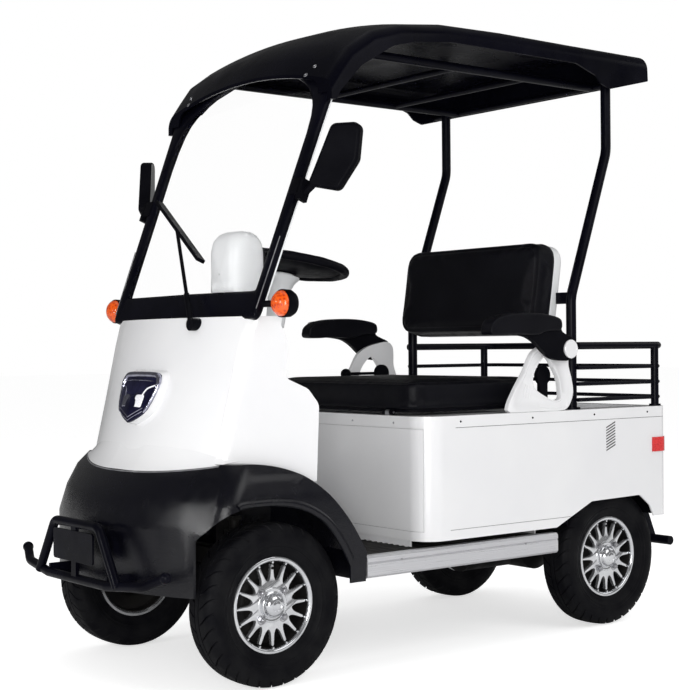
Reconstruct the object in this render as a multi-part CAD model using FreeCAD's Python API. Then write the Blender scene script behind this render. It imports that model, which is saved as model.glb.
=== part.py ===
import FreeCAD, Part
import math
import os
from FreeCAD import Vector

# Small electric cart with a moulded canopy, one bench seat and a rear load bed.
# Lengths are in millimetres. +X is the cart's left, +Y its rear, +Z up.
# The origin is on the ground, under the middle of the overall length.

# Driving dimensions of the whole cart
wheelbase = 1250.0
front_overhang = 360.0
rear_overhang = 290.0
body_half_width = 400.0
front_track = 2 * (body_half_width - 66.0)
rear_track = 2 * (body_half_width - 77.0)
floor_top_z = 300.0
bench_z = 655.0
canopy_half_width = body_half_width + 24.0
wall = 5.0
seat_gap = 0.3
moving_gap = 6.0
overrun = 20.0

overall_length = front_overhang + wheelbase + rear_overhang
front_axle_y = front_overhang - overall_length / 2
rear_axle_y = front_axle_y + wheelbase

# Share of the shorter neighbouring edge that one corner rounding may use
corner_limit_share = 0.48

# Wheels
tyre_radius = 205.0
tyre_width = 102.0
tread_half = 38.0
tyre_shoulder_share = 0.28
bead_seat_radius = tyre_radius - 93.0
tyre_section = tyre_radius - bead_seat_radius
bead_half = 33.0
sidewall_share = 0.45
tyre_corner_radius = 14.0
rim_flange_radius = bead_seat_radius + 8.5
rim_flange_thick = 5.0
rim_wall = 5.0
spoke_count = 16
spoke_root_radius = bead_seat_radius - 52.0
spoke_root_width = 17.0
spoke_tip_width = 8.0
spoke_front = 30.0
spoke_depth = 13.0
hub_disc_depth = 15.0
hub_barrel_radius = 29.0
hub_barrel_inner = -6.0
cap_radius = 29.0
cap_base_radius = 33.0
cap_rise = 17.0
cap_base_rise = 5.0
spindle_radius = 15.0
spindle_reach = 22.0

# Steered knuckles, tie rod and front axle
kingpin_x = front_track / 2 - 34.0
kingpin_radius = 10.0
knuckle_radius = 19.0
knuckle_half_height = 32.0
steering_arm_length = 70.0
steering_arm_width = 22.0
steering_arm_thick = 10.0
steering_arm_drop = 17.0
tie_rod_radius = 8.0
tie_eye_radius = 13.0
tie_eye_thick = 9.0
yoke_plate_thick = 10.0
yoke_half_width = 22.0
yoke_web_thick = 12.0
yoke_web_inset = 28.0
yoke_reach = 16.0
axle_beam_radius = 19.0

# Rear transaxle
rear_tube_radius = 24.0
brake_plate_radius = bead_seat_radius - 34.0
brake_plate_thick = 10.0
brake_plate_inset = 62.0
gearcase_radius = 72.0
gearcase_half = 58.0
gearcase_neck = 40.0
motor_radius = 68.0
motor_length = 170.0
motor_offset_x = 46.0

# Spring struts
front_strut_x = kingpin_x - 103.0
rear_strut_x = rear_track / 2 - 118.0
strut_top_z = tyre_radius + 197.0
strut_body_radius = 13.0
strut_coil_radius = 27.0
strut_coil_wire = 5.0
strut_coil_turns = 6
strut_eye_height = 30.0
strut_eye_half = 14.0

# Frame
rail_x = 150.0
rail_width = 34.0
rail_height = 48.0
cross_size = 40.0
rail_front_reach = 262.0
rail_rear_reach = 228.0
tail_member_depth = 16.0
outrigger_count = 3
tower_size = 30.0
tower_arm_thick = 10.0

# Floor pan and sills
floor_thick = 5.0
floor_front = 110.0
floor_tuck = 60.0
sill_outer_x = body_half_width + 2.0
sill_width = 26.0
sill_height = 58.0
sill_lip = 6.0
sill_front = 276.0
sill_rear_gap = 262.0
sill_wall = 3.0
sill_groove_share = 0.33

# Front cowl, white. Each row is height, corner x, corner y and the y of the bow's crest
screen_half = 376.0
cowl_half = screen_half - 50.0
cowl_wall = 5.0
cowl_base_z = 505.0
cowl_top_z = 924.0
cowl_rows = [
    (505.0, cowl_half - 4.0, -133.0, -211.0),
    (700.0, cowl_half - 2.0, -86.0, -157.0),
    (855.0, cowl_half, -52.0, -106.0),
    (924.0, cowl_half + 10.0, -28.0, -82.0),
]
cowl_corner_radius = 42.0
cowl_flare = 68.0
cowl_cut_y = 200.0
cowl_rear_edge = [
    (44.0, 924.0, 8.0),
    (40.0, 903.0, 12.0),
    (62.0, 858.0, 30.0),
    (53.0, 768.0, 16.0),
    (112.0, 740.0, 34.0),
    (141.0, 700.0, 34.0),
    (132.0, 505.0, 0.0),
]
bow_shoulder_share = 0.8

# Front skirt with its mudguards, black. Rows are height, half width, corner y, crest y
guard_half = body_half_width + 12.0
skirt_wall = 5.0
skirt_bottom_z = 242.0
skirt_rows = [
    (242.0, guard_half, -184.0, -303.0),
    (400.0, guard_half, -184.0, -303.0),
    (470.0, guard_half - 3.0, -160.0, -285.0),
    (525.0, guard_half - 14.0, -135.0, -242.0),
    (562.0, guard_half - 40.0, -112.0, -190.0),
]
skirt_corner_radius = 60.0
guard_inner_half = front_track / 2 - 148.0
guard_top_edge = [
    (-87.0, 559.0), (5.0, 549.0), (80.0, 522.0), (135.0, 485.0), (180.0, 442.0), (267.0, 315.0),
]
guard_foot_y = 262.0
guard_foot_z = 262.0
arch_edge = [
    (-226.0, 300.0), (-211.0, 390.0), (-158.0, 441.0), (-105.0, 456.0), (-2.0, 454.0), (68.0, 438.0),
    (133.0, 400.0), (176.0, 348.0), (212.0, 286.0),
]
arch_inner_x = front_track / 2 + 11.0
toe_board_y = 125.0
skirt_shelf_depth = 70.0

# Head lamp
lamp_half_top = 88.0
lamp_half_waist = 92.0
lamp_half_low = 66.0
lamp_low_z = 650.0
lamp_cheek_z = 682.0
lamp_waist_z = 748.0
lamp_high_z = 784.0
lamp_corner_radius = 16.0
lamp_proud = 11.0

# Front bumper
bumper_tube_radius = 12.0
bumper_ball_radius = 14.5
bumper_end = (360.0, -306.0, 303.0)
bumper_knee = (299.0, -330.0, 276.0)
bumper_mid = (155.0, -348.0, 263.0)
bumper_bend = 80.0
loop_foot_x = 205.0
loop_top_x = 116.0
loop_top_z = 403.0
loop_bend = 30.0
blank_plate_half = 104.0
blank_plate_low_z = 308.0
blank_plate_high_z = 386.0
blank_plate_thick = 5.0
blank_plate_radius = 8.0
bumper_bracket_thick = 8.0
bumper_bracket_height = 30.0

# Rear bumper
rear_bumper_half = body_half_width - 24.0
rear_bumper_z = 230.0
rear_bumper_radius = 14.0
rear_hanger_x = body_half_width - 100.0
rear_hanger_thick = 9.0
rear_hanger_top_z = 316.0
rear_hanger_front = 1462.0
rear_hanger_rear = 1502.0
rear_hanger_low_z = 250.0

# Windscreen frame, leaning back
screen_lean_deg = 21.0
screen_foot_y = -12.0
screen_thick = 30.0
screen_post_width = 52.0
screen_foot_drop = 16.0
screen_beam_height = 62.0
screen_side_height = 640.0
screen_crest_height = 752.0
screen_head_height = 32.0
screen_opening_side = 618.0
screen_corner_radius = 40.0
glass_thick = 5.0
glass_rebate = 12.0

# Canopy shell. Rows are y, half width, height of the edge and height of the crown
canopy_wall = 6.0
canopy_rows = [
    (176.0, canopy_half_width - 28.0, 1528.0, 1582.0),
    (206.0, canopy_half_width - 26.0, 1570.0, 1624.0),
    (242.0, canopy_half_width - 22.0, 1618.0, 1662.0),
    (313.0, canopy_half_width - 15.0, 1668.0, 1706.0),
    (400.0, canopy_half_width - 8.0, 1694.0, 1734.0),
    (550.0, canopy_half_width - 2.0, 1712.0, 1750.0),
    (775.0, canopy_half_width, 1718.0, 1754.0),
    (1056.0, canopy_half_width, 1718.0, 1754.0),
    (1378.0, canopy_half_width, 1720.0, 1752.0),
]
canopy_edge_radius = 42.0
canopy_foot_z = 1440.0
canopy_low_edge = [
    (192.0, 1478.0, 10.0), (204.0, 1502.0, 10.0), (269.0, 1573.0, 40.0), (370.0, 1634.0, 60.0),
    (440.0, 1652.0, 60.0), (574.0, 1666.0, 80.0), (1060.0, 1666.0, 40.0), (1143.0, 1640.0, 20.0),
    (1168.0, 1618.0, 20.0), (1206.0, 1606.0, 20.0), (1378.0, 1647.0, 4.0),
]
canopy_tail_edge = [(1374.0, 1718.0, 14.0), (1350.0, 1764.0, 10.0), (1290.0, 1790.0, 0.0)]
canopy_tail_wall = 27.0
visor_half = screen_half - 38.0
visor_side_z = 1533.0
visor_crest_z = 1573.0
visor_radius = 36.0

# Canopy posts and tubes
post_x = body_half_width - 43.0
post_radius = 15.0
post_foot_y = 1100.0
post_knee_z = 988.0
post_lean_z = 1429.0
post_lean_y = 1260.0
post_bend = 110.0
post_flange_radius = 25.0
post_flange_thick = 6.0
roof_tube_radius = 12.0
roof_tube_bend = 30.0
roof_tube_z = 1632.0
roof_tube_x = canopy_half_width - 124.0
roof_tube_front = 318.0
roof_tube_start = 660.0
roof_cross_radius = 9.0
roof_cross_tubes = [
    (330.0, canopy_half_width), (700.0, roof_tube_x), (980.0, roof_tube_x), (1260.0, canopy_half_width),
]
post_top_z = 1654.0

# Rear body, white, with the seat box and the load bed
box_front_y = 480.0
body_rear_y = 1484.0
body_low_z = 318.0
body_corner_radius = 68.0
body_rear_radius = 30.0
rim_width = 72.0
bed_tail_width = 44.0
bed_floor_z = 470.0
bed_front_y = 1072.0
bed_corner_radius = 24.0
wheel_arch = [
    (978.0, 300.0, 0.0), (984.0, 317.0, 10.0), (1137.0, 383.0, 26.0), (1353.0, 387.0, 26.0),
    (1399.0, 352.0, 20.0), (1426.0, 300.0, 0.0),
]
liner_half_length = tyre_radius + 11.0
liner_top_z = 2 * tyre_radius + 30.0
liner_inner_x = body_half_width - 140.0
liner_wall = 4.0
panel_half = body_half_width - 26.0
panel_low_z = 345.0
panel_high_z = 621.0
panel_gap = 1.5
panel_depth = 60.0
panel_lip = 10.0
deck_hole_half = body_half_width - 150.0
deck_hole_front = 80.0
deck_hole_length = 350.0
kick_plate_half = body_half_width - 70.0
bulkhead_y = 965.0

# Battery
battery_half_width = body_half_width - 185.0
battery_front_gap = 90.0
battery_length = 330.0
battery_height = 215.0

# Load rails
rail_post_x = body_half_width - 21.0
rail_post_y = 1452.0
rail_top_z = 843.0
rail_top_radius = 11.0
rail_rod_radius = 6.0
rail_rod_z = [778.0, 730.0, 683.0]
rail_post_radius = 12.0
rail_run_y = 1489.0
rail_bend = 34.0
rail_front_y = 1102.0
rail_foot_radius = 18.0
rail_foot_thick = 6.0

# Tail lamps
tail_lamp_z = 538.0
tail_lamp_height = 44.0
tail_lamp_wrap = 73.0
tail_lamp_across = 92.0
tail_lamp_proud = 4.0

# Seat
cushion_half = body_half_width - 62.0
cushion_front = 486.0
cushion_rear = 1004.0
cushion_low_z = bench_z + 21.0
cushion_top_z = bench_z + 97.0
cushion_corner_radius = 72.0
cushion_edge_radius = 18.0
pan_inset = 14.0
pan_thick = 12.0
seat_hinge_x = cushion_half - 102.0
seat_hinge_radius = 7.0
seat_hinge_pin = 3.5
seat_hinge_y = 492.0
hinge_centre_width = 16.0
hinge_lug_width = 13.0
seat_stop_size = 40.0
seat_stop_x = cushion_half - 48.0
back_half = body_half_width - 100.0
back_low_z = 888.0
back_height = 274.0
back_corner_radius = 58.0
back_lean_deg = 9.0
back_front_y = 985.0
back_pad_thick = 60.0
back_edge_radius = 16.0
back_shell_thick = 24.0
back_shell_grow = 10.0
back_bracket_z = 985.0
back_bracket_height = 34.0
back_bracket_thick = 14.0

# Armrests. Outlines are y, z and corner radius in the side view
bracket_inner_x = body_half_width - 14.0
bracket_outer_x = body_half_width + 2.0
arm_inner_x = body_half_width - 8.0
arm_outer_x = body_half_width + 38.0
arm_elbow_inner_x = bracket_outer_x + moving_gap + seat_gap
arm_elbow_outer_x = body_half_width + 30.0
arm_pivot_y = 1014.0
arm_pivot_z = 834.0
arm_eye_radius = 34.0
arm_disc_radius = 27.0
arm_disc_thick = 8.0
arm_pin_radius = 8.0
arm_boss_radius = 20.0
arm_pad_outline = [
    (693.0, 906.0, 16.0), (699.0, 874.0, 14.0), (800.0, 874.0, 30.0), (880.0, 866.0, 20.0),
    (905.0, 884.0, 10.0), (978.0, 884.0, 12.0), (978.0, 924.0, 16.0), (905.0, 937.0, 40.0),
    (775.0, 934.0, 60.0),
]
arm_elbow_outline = [
    (860.0, 872.0, 10.0), (912.0, 842.0, 20.0), (958.0, 806.0, 14.0), (1010.0, 802.0, 0.0),
    (1040.0, 846.0, 0.0), (984.0, 874.0, 8.0), (976.0, 912.0, 8.0), (870.0, 912.0, 8.0),
]
bracket_outline = [
    (938.0, 846.0, 24.0), (1030.0, 812.0, 30.0), (1060.0, 700.0, 50.0), (1020.0, bench_z + seat_gap, 16.0),
    (800.0, bench_z + seat_gap, 20.0), (786.0, 680.0, 20.0), (840.0, 760.0, 60.0), (886.0, 826.0, 50.0),
]
bracket_hole = [
    (928.0, 790.0, 18.0), (988.0, 744.0, 24.0), (984.0, 692.0, 16.0), (936.0, 694.0, 20.0),
    (880.0, 732.0, 20.0),
]

# Hand lever beside the seat
lever_x = body_half_width - 36.0
lever_disc_radius = 28.0
lever_disc_thick = 12.0
lever_foot_half = 16.0
lever_y = 968.0
lever_z = 758.0
lever_length = 150.0
lever_rod_radius = 5.0
lever_knob_radius = 17.0

# Steering
column_lean_deg = 10.0
wheel_centre_y = 306.0
wheel_centre_z = 1078.0
column_radius = 18.0
column_flange_radius = 36.0
column_flange_thick = 8.0
shroud_radius = 34.0
shroud_foot_radius = 26.0
shroud_length = 150.0
wheel_rim_radius = 176.0
wheel_grip_radius = 13.0
wheel_hub_radius = 44.0
wheel_hub_height = 26.0
wheel_spoke_width = 30.0
wheel_spoke_thick = 12.0
wheel_spoke_count = 3
wheel_spoke_start_deg = 180.0
steering_gap = 0.5

# Instrument pod
pod_inner_x = 66.0
pod_outer_x = 196.0
pod_outline = [
    (4.0, cowl_top_z + seat_gap, 0.0), (33.0, cowl_top_z + seat_gap, 0.0), (96.0, 1000.0, 20.0),
    (118.0, 1014.0, 10.0), (119.0, 1122.0, 12.0), (112.0, 1152.0, 9.0), (97.0, 1152.0, 6.0),
    (87.0, 1118.0, 20.0), (82.0, 1040.0, 30.0),
]
pod_edge_radius = 6.0

# Turn signals
signal_x = screen_half + 37.0
signal_y = 3.0
signal_z = 954.0
signal_radius = 35.0
signal_lens_radius = 33.0
signal_body_length = 33.0
signal_dome_rise = 26.0
signal_stalk_radius = 12.0
signal_stalk_y = -15.0

# Mirrors. The head outline is across, height and corner radius
mirror_x = screen_half + 94.0
mirror_y = 140.0
mirror_turn_deg = 38.0
mirror_depth = 34.0
mirror_outline = [
    (-7.0, 1403.0, 20.0), (70.0, 1404.0, 20.0), (60.0, 1309.0, 30.0), (10.0, 1234.0, 18.0),
    (-72.0, 1250.0, 14.0), (-54.0, 1291.0, 30.0),
]
mirror_edge_radius = 10.0
mirror_clamp_rise = 332.0
mirror_clamp_height = 54.0
mirror_clamp_thick = 14.0
mirror_stalk_radius = 9.0
mirror_stalk_start = (screen_half + 10.0, 98.0, 1236.0)
mirror_stalk_end = (screen_half + 52.0, 104.0, 1262.0)

# Wiper
wiper_pivot = (screen_half - 226.0, -96.0, 906.0)
wiper_pivot_reach = 40.0
wiper_motor_radius = 16.0
wiper_arm_radius = 5.0
wiper_arm_end_x = 236.0 - screen_half
wiper_arm_end_rise = 255.0
wiper_arm_end_out = 38.0
wiper_blade_half_x = screen_half - 211.0
wiper_blade_half_rise = 100.0
wiper_blade_width = 10.0
wiper_sleeve_share = 0.3

# Pedals
pedal_x = 95.0
pedal_y = 190.0
pedal_z = 352.0
pedal_width = 60.0
pedal_height = 84.0
pedal_thick = 9.0
pedal_lean_deg = 30.0
pedal_stalk_radius = 7.0
pedal_stalk_z = 450.0

# The wheelbase at which the rear offsets were taken
wheelbase_drawn = 1250.0


def at_front(offset):
    return front_axle_y + offset


def at_rear(offset):
    """A distance behind the front axle, held to the rear axle."""
    return rear_axle_y + offset - wheelbase_drawn


def box(x0, x1, y0, y1, z0, z1):
    return Part.makeBox(x1 - x0, y1 - y0, z1 - z0, Vector(x0, y0, z0))


def rod(start, end, radius):
    a = Vector(*start)
    b = Vector(*end)
    return Part.makeCylinder(radius, (b - a).Length, a, b - a)


def mirrored(shape):
    return shape.mirror(Vector(0, 0, 0), Vector(1, 0, 0))


def both_sides(shape):
    return shape.fuse(mirrored(shape))


def corner_arc(before, corner, after, radius):
    """Start, middle and end of the arc that rounds one corner."""
    u = (before - corner).normalize()
    v = (after - corner).normalize()
    half = math.acos(max(-1.0, min(1.0, u.dot(v)))) / 2
    reach = min((before - corner).Length, (after - corner).Length)
    tangent = min(radius / math.tan(half), reach * corner_limit_share)
    radius = tangent * math.tan(half)
    start = corner + u * tangent
    end = corner + v * tangent
    bisector = (u + v).normalize()
    middle = corner + bisector * (radius / math.sin(half) - radius)
    return start, middle, end


def rounded_edges(points, radii, closed):
    """Straight runs joined by tangent arcs."""
    count = len(points)
    arcs = []
    for i in range(count):
        is_end = not closed and i in (0, count - 1)
        if is_end or radii[i] == 0:
            arcs.append((points[i], None, points[i]))
        else:
            arcs.append(corner_arc(points[i - 1], points[i], points[(i + 1) % count], radii[i]))
    edges = []
    for i in range(count):
        start, middle, end = arcs[i]
        if middle is not None:
            edges.append(Part.Arc(start, middle, end).toShape())
        if closed or i < count - 1:
            edges.append(Part.LineSegment(end, arcs[(i + 1) % count][0]).toShape())
    return edges


def rounded_wire(points, radii, closed=True):
    corners = [Vector(*p) for p in points]
    if not isinstance(radii, (list, tuple)):
        radii = [radii] * len(corners)
    return Part.Wire(rounded_edges(corners, radii, closed))


def plate(points, radii, depth):
    """A rounded outline pushed along the vector depth."""
    return Part.Face(rounded_wire(points, radii)).extrude(Vector(*depth))


def bent_tube(points, radius, bend):
    """A round bar along straight runs and tangent bends."""
    path = rounded_wire(points, bend, closed=False)
    start = Vector(*points[0])
    direction = Vector(*points[1]) - start
    circle = Part.Wire(Part.Circle(start, direction, radius).toShape())
    return path.makePipeShell([circle], True, False)


def loft(wires, ruled=False):
    return Part.makeLoft(wires, True, ruled)


def save(name, shape):
    """Write one node, as a plain solid or as a compound of its separate solids."""
    solids = shape.removeSplitter().Solids
    whole = solids[0] if len(solids) == 1 else Part.makeCompound(solids)
    whole.exportStep("parts/" + name + ".step")


# Wheels and axles

def revolve_about_x(profile, radii, centre):
    points = [(x, 0, r) for x, r in profile]
    face = Part.Face(rounded_wire(points, radii))
    solid = face.revolve(Vector(0, 0, 0), Vector(1, 0, 0), 360)
    solid.translate(Vector(*centre))
    return solid


def make_tyre():
    half = tyre_width / 2
    low = bead_seat_radius + seat_gap
    flange_top = rim_flange_radius + seat_gap
    wide_low = flange_top + tyre_section * sidewall_share
    shoulder = tyre_radius - tyre_section * tyre_shoulder_share
    side = [(bead_half, low), (bead_half, flange_top), (half, wide_low), (half, shoulder),
            (tread_half, tyre_radius)]
    profile = side + [(-x, r) for x, r in reversed(side)]
    r = tyre_corner_radius
    return revolve_about_x(profile, [0, 0, r, r, r, r, r, r, 0, 0], (0, 0, tyre_radius))


def dome_sphere(radius, rise):
    """The radius of the sphere whose cap has this radius and rise."""
    return (radius ** 2 + rise ** 2) / (2 * rise)


def make_rim():
    outer = bead_half + rim_flange_thick
    well = bead_half + seat_gap
    inner = bead_seat_radius - rim_wall
    side = [(outer, inner), (outer, rim_flange_radius), (well, rim_flange_radius), (well, bead_seat_radius)]
    rim = revolve_about_x(side + [(-x, r) for x, r in reversed(side)], 0, (0, 0, 0))
    disc_back = spoke_front - hub_disc_depth
    disc = rod((disc_back, 0, 0), (spoke_front, 0, 0), spoke_root_radius)
    barrel = rod((hub_barrel_inner, 0, 0), (disc_back, 0, 0), hub_barrel_radius)
    cap_start = spoke_front + cap_base_rise
    base = Part.makeCone(cap_base_radius, cap_radius, cap_base_rise, Vector(spoke_front, 0, 0), Vector(1, 0, 0))
    dome_radius = dome_sphere(cap_radius, cap_rise)
    dome = Part.makeSphere(dome_radius, Vector(cap_start + cap_rise - dome_radius, 0, 0))
    keep = rod((cap_start, 0, 0), (cap_start + dome_radius, 0, 0), dome_radius)
    rim = rim.fuse([disc, barrel, base, dome.common(keep)])
    rim = rim.fuse(make_spokes())
    rim = rim.cut(rod((hub_barrel_inner, 0, 0), (spindle_reach + seat_gap, 0, 0), spindle_radius + seat_gap))
    rim.translate(Vector(0, 0, tyre_radius))
    return rim


def make_spokes():
    spokes = []
    back = spoke_front - spoke_depth
    root = spoke_root_radius * math.cos(math.radians(180 / spoke_count)) - spoke_root_width / 2
    tip = bead_seat_radius - rim_wall / 2
    for i in range(spoke_count):
        outline = [(back, -spoke_root_width / 2, root), (back, spoke_root_width / 2, root),
                   (back, spoke_tip_width / 2, tip), (back, -spoke_tip_width / 2, tip)]
        spoke = plate(outline, 0, (spoke_depth, 0, 0))
        spoke.rotate(Vector(0, 0, 0), Vector(1, 0, 0), 360 * i / spoke_count)
        spokes.append(spoke)
    return spokes


def place_wheel(shape, side, x, y):
    wheel = shape.copy() if side > 0 else mirrored(shape)
    wheel.translate(Vector(side * x, y, 0))
    return wheel


def make_knuckle():
    y = at_front(0)
    z = tyre_radius
    front_wheel_x = front_track / 2
    half = knuckle_half_height
    barrel = rod((kingpin_x, y, z - half), (kingpin_x, y, z + half), knuckle_radius)
    spindle = rod((kingpin_x, y, z), (front_wheel_x + spindle_reach, y, z), spindle_radius)
    arm_top = z - steering_arm_drop
    arm = box(kingpin_x - steering_arm_width / 2, kingpin_x + steering_arm_width / 2, y,
              y + steering_arm_length, arm_top - steering_arm_thick, arm_top)
    eye = rod((kingpin_x, y + steering_arm_length, arm_top - steering_arm_thick),
              (kingpin_x, y + steering_arm_length, arm_top), steering_arm_width / 2)
    pin_hole = rod((kingpin_x, y, 0), (kingpin_x, y, 2 * z), kingpin_radius + seat_gap)
    return barrel.fuse([spindle, arm, eye]).cut(pin_hole)


def make_tie_rod():
    y = at_front(steering_arm_length)
    eye_low = tyre_radius - steering_arm_drop + seat_gap
    z = eye_low + tie_eye_thick / 2
    bar = rod((-kingpin_x, y, z), (kingpin_x, y, z), tie_eye_thick / 2)
    sleeve = rod((-kingpin_x / 2, y, z), (kingpin_x / 2, y, z), tie_rod_radius)
    eye = rod((kingpin_x, y, eye_low), (kingpin_x, y, eye_low + tie_eye_thick), tie_eye_radius)
    return bar.fuse([sleeve, eye, mirrored(eye)])


def make_front_axle():
    y = at_front(0)
    z = tyre_radius
    web_outer = kingpin_x - yoke_web_inset
    web_inner = web_outer - yoke_web_thick
    beam = rod((-web_inner, y, z), (web_inner, y, z), axle_beam_radius)
    plate_low = knuckle_half_height + seat_gap
    half = plate_low + yoke_plate_thick
    web = box(web_inner, web_outer, y - yoke_half_width, y + yoke_half_width, z - half, z + half)
    top = box(web_inner, kingpin_x + yoke_reach, y - yoke_half_width, y + yoke_half_width,
              z + plate_low, z + half)
    bottom = box(web_inner, kingpin_x + yoke_reach, y - yoke_half_width, y + yoke_half_width,
                 z - half, z - plate_low)
    pin = rod((kingpin_x, y, z - half), (kingpin_x, y, z + half), kingpin_radius)
    side = web.fuse([top, bottom, pin])
    pads = strut_pad(front_strut_x, y, z + axle_beam_radius)
    return beam.fuse([side, mirrored(side), pads, mirrored(pads)])


def strut_pad(x, y, top_z):
    """A short lug on an axle, under the foot of a strut."""
    low = top_z - axle_beam_radius
    return box(x - strut_eye_half, x + strut_eye_half, y - strut_eye_half, y + strut_eye_half, low,
               top_z + tower_arm_thick)


def make_rear_axle():
    y = rear_axle_y
    z = tyre_radius
    wheel_x = rear_track / 2
    plate_x = wheel_x - brake_plate_inset
    tube = rod((-plate_x, y, z), (plate_x, y, z), rear_tube_radius)
    disc = rod((plate_x, y, z), (plate_x + brake_plate_thick, y, z), brake_plate_radius)
    shaft = rod((plate_x, y, z), (wheel_x + spindle_reach, y, z), spindle_radius)
    case = rod((-gearcase_half, y, z), (gearcase_half, y, z), gearcase_radius)
    neck = Part.makeCone(gearcase_radius, rear_tube_radius, gearcase_neck, Vector(gearcase_half, y, z),
                         Vector(1, 0, 0))
    motor_y = y - gearcase_radius
    motor = rod((-motor_offset_x, y, z), (-motor_offset_x, motor_y - motor_length, z), motor_radius)
    pads = strut_pad(rear_strut_x, y, z + rear_tube_radius)
    side = disc.fuse([shaft, neck, pads])
    return tube.fuse([side, mirrored(side), case, motor])


def make_strut(x, y, foot_z):
    """A damper with stacked coil rings round it, from the axle lug to its tower."""
    body = rod((x, y, foot_z), (x, y, strut_top_z), strut_body_radius)
    low = foot_z + strut_eye_height
    span = strut_top_z - strut_eye_height - low
    pitch = span / strut_coil_turns
    starts = [low + (2 * i + 1) * pitch / 2 - strut_coil_wire for i in range(strut_coil_turns)]
    coils = [rod((x, y, z), (x, y, z + 2 * strut_coil_wire), strut_coil_radius) for z in starts]
    seat_low = rod((x, y, low - strut_coil_wire), (x, y, low), strut_coil_radius)
    seat_top = rod((x, y, low + span), (x, y, low + span + strut_coil_wire), strut_coil_radius)
    sleeve = rod((x, y, low), (x, y, low + span), strut_coil_radius - 2 * strut_coil_wire)
    return body.fuse([seat_low, seat_top, sleeve] + coils)


def make_spring_struts():
    lug_top = tyre_radius + tower_arm_thick + seat_gap
    front = make_strut(front_strut_x, at_front(0), lug_top + axle_beam_radius)
    rear = make_strut(rear_strut_x, rear_axle_y, lug_top + rear_tube_radius)
    return Part.makeCompound([front, mirrored(front), rear, mirrored(rear)])


# Frame

frame_top_z = floor_top_z - floor_thick
frame_low_z = frame_top_z - rail_height


def tower(strut_x, y):
    """An upright on the rail with an arm over the head of a strut."""
    half = tower_size / 2
    low = strut_top_z + seat_gap
    high = low + tower_arm_thick
    upright = box(rail_x - half, rail_x + half, y - half, y + half, frame_low_z, high)
    arm = box(rail_x - half, strut_x + strut_eye_half, y - half, y + half, low, high)
    return upright.fuse(arm)


def sill_ends():
    return at_front(sill_front), rear_axle_y - sill_rear_gap


def cross_member(reach, y):
    return box(-reach, reach, y - cross_size / 2, y + cross_size / 2, frame_low_z, frame_top_z)


def make_frame():
    start = at_front(-rail_front_reach)
    end = rear_axle_y + rail_rear_reach
    rail = box(rail_x - rail_width / 2, rail_x + rail_width / 2, start, end, frame_low_z, frame_top_z)
    members = [rail, mirrored(rail)]
    members += [cross_member(rail_x, y) for y in (start + cross_size / 2, at_front(floor_front))]
    rear_reach = rear_hanger_x - seat_gap
    members.append(box(-rear_reach, rear_reach, end - tail_member_depth, end, frame_low_z, frame_top_z))
    bed_post = box(rail_x - rail_width / 2, rail_x + rail_width / 2, end - rail_width, end, frame_low_z,
                   bed_floor_z - wall - seat_gap)
    members += [bed_post, mirrored(bed_post)]
    sill_start, sill_end = sill_ends()
    reach = sill_outer_x - sill_width
    for i in range(outrigger_count):
        y = sill_start + cross_size + (sill_end - sill_start - 2 * cross_size) * i / (outrigger_count - 1)
        members.append(cross_member(reach, y))
    for strut_x, y in ((front_strut_x, at_front(0)), (rear_strut_x, rear_axle_y)):
        members.append(tower(strut_x, y))
        members.append(mirrored(tower(strut_x, y)))
    return members[0].fuse(members[1:])


def make_floor_pan():
    """Ribbed pan between the front wheel wells and the seat box."""
    front = at_front(guard_top_edge[-1][0]) + moving_gap
    rear = at_rear(box_front_y) + floor_tuck
    reach = sill_outer_x - sill_width - seat_gap
    wide = box(-reach, reach, front, rear, frame_top_z, floor_top_z)
    well = guard_inner_half - moving_gap
    narrow = box(-well, well, at_front(floor_front), front, frame_top_z, floor_top_z)
    return wide.fuse(narrow)


def make_side_sills():
    """A hollow channel with a rolled lip and one pressed groove."""
    start, end = sill_ends()
    high = floor_top_z + sill_lip / 2
    low = high - sill_height
    outer = sill_outer_x
    inner = outer - sill_width + seat_gap
    groove_z = high - sill_height * sill_groove_share
    outline = [(inner, start, low), (outer - sill_lip, start, low), (outer, start, low + sill_lip),
               (outer, start, groove_z - sill_wall), (outer - sill_wall, start, groove_z),
               (outer, start, groove_z + sill_wall), (outer, start, high - sill_lip),
               (outer - sill_lip, start, high), (inner, start, high)]
    bar = plate(outline, 0, (0, end - start, 0))
    hollow = box(inner - overrun, outer - 2 * sill_wall, start - overrun, end + overrun,
                 low + sill_wall, high - sill_wall)
    return bar.cut(hollow)


# Front cowl and skirt

def bowed_wire(foot, corner, crest, radius):
    """Outline through a foot and a rounded corner on each side, with a bow between them."""
    share = bow_shoulder_share
    shoulder = Vector(*crest) + (Vector(*corner) - Vector(*crest)) * share ** 2
    shoulder.x = corner[0] * share
    left = [tuple(shoulder), corner, foot]
    points = [Vector(*p) for p in left] + [Vector(-p[0], p[1], p[2]) for p in reversed(left)]
    edges = rounded_edges(points, [0, radius, 0, 0, radius, 0], False)
    edges.append(Part.Arc(points[-1], Vector(*crest), points[0]).toShape())
    return Part.Wire(edges)


def side_plate(outline, x0, x1, inset=0):
    """A side view outline of y, z and radius, drawn in by inset and pushed from x0 to x1."""
    points = [(x0, at_front(y), z) for y, z, radius in outline]
    face = Part.Face(rounded_wire(points, [radius for y, z, radius in outline]))
    if inset != 0:
        face = face.makeOffset2D(-inset)
    return face.extrude(Vector(x1 - x0, 0, 0))


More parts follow.
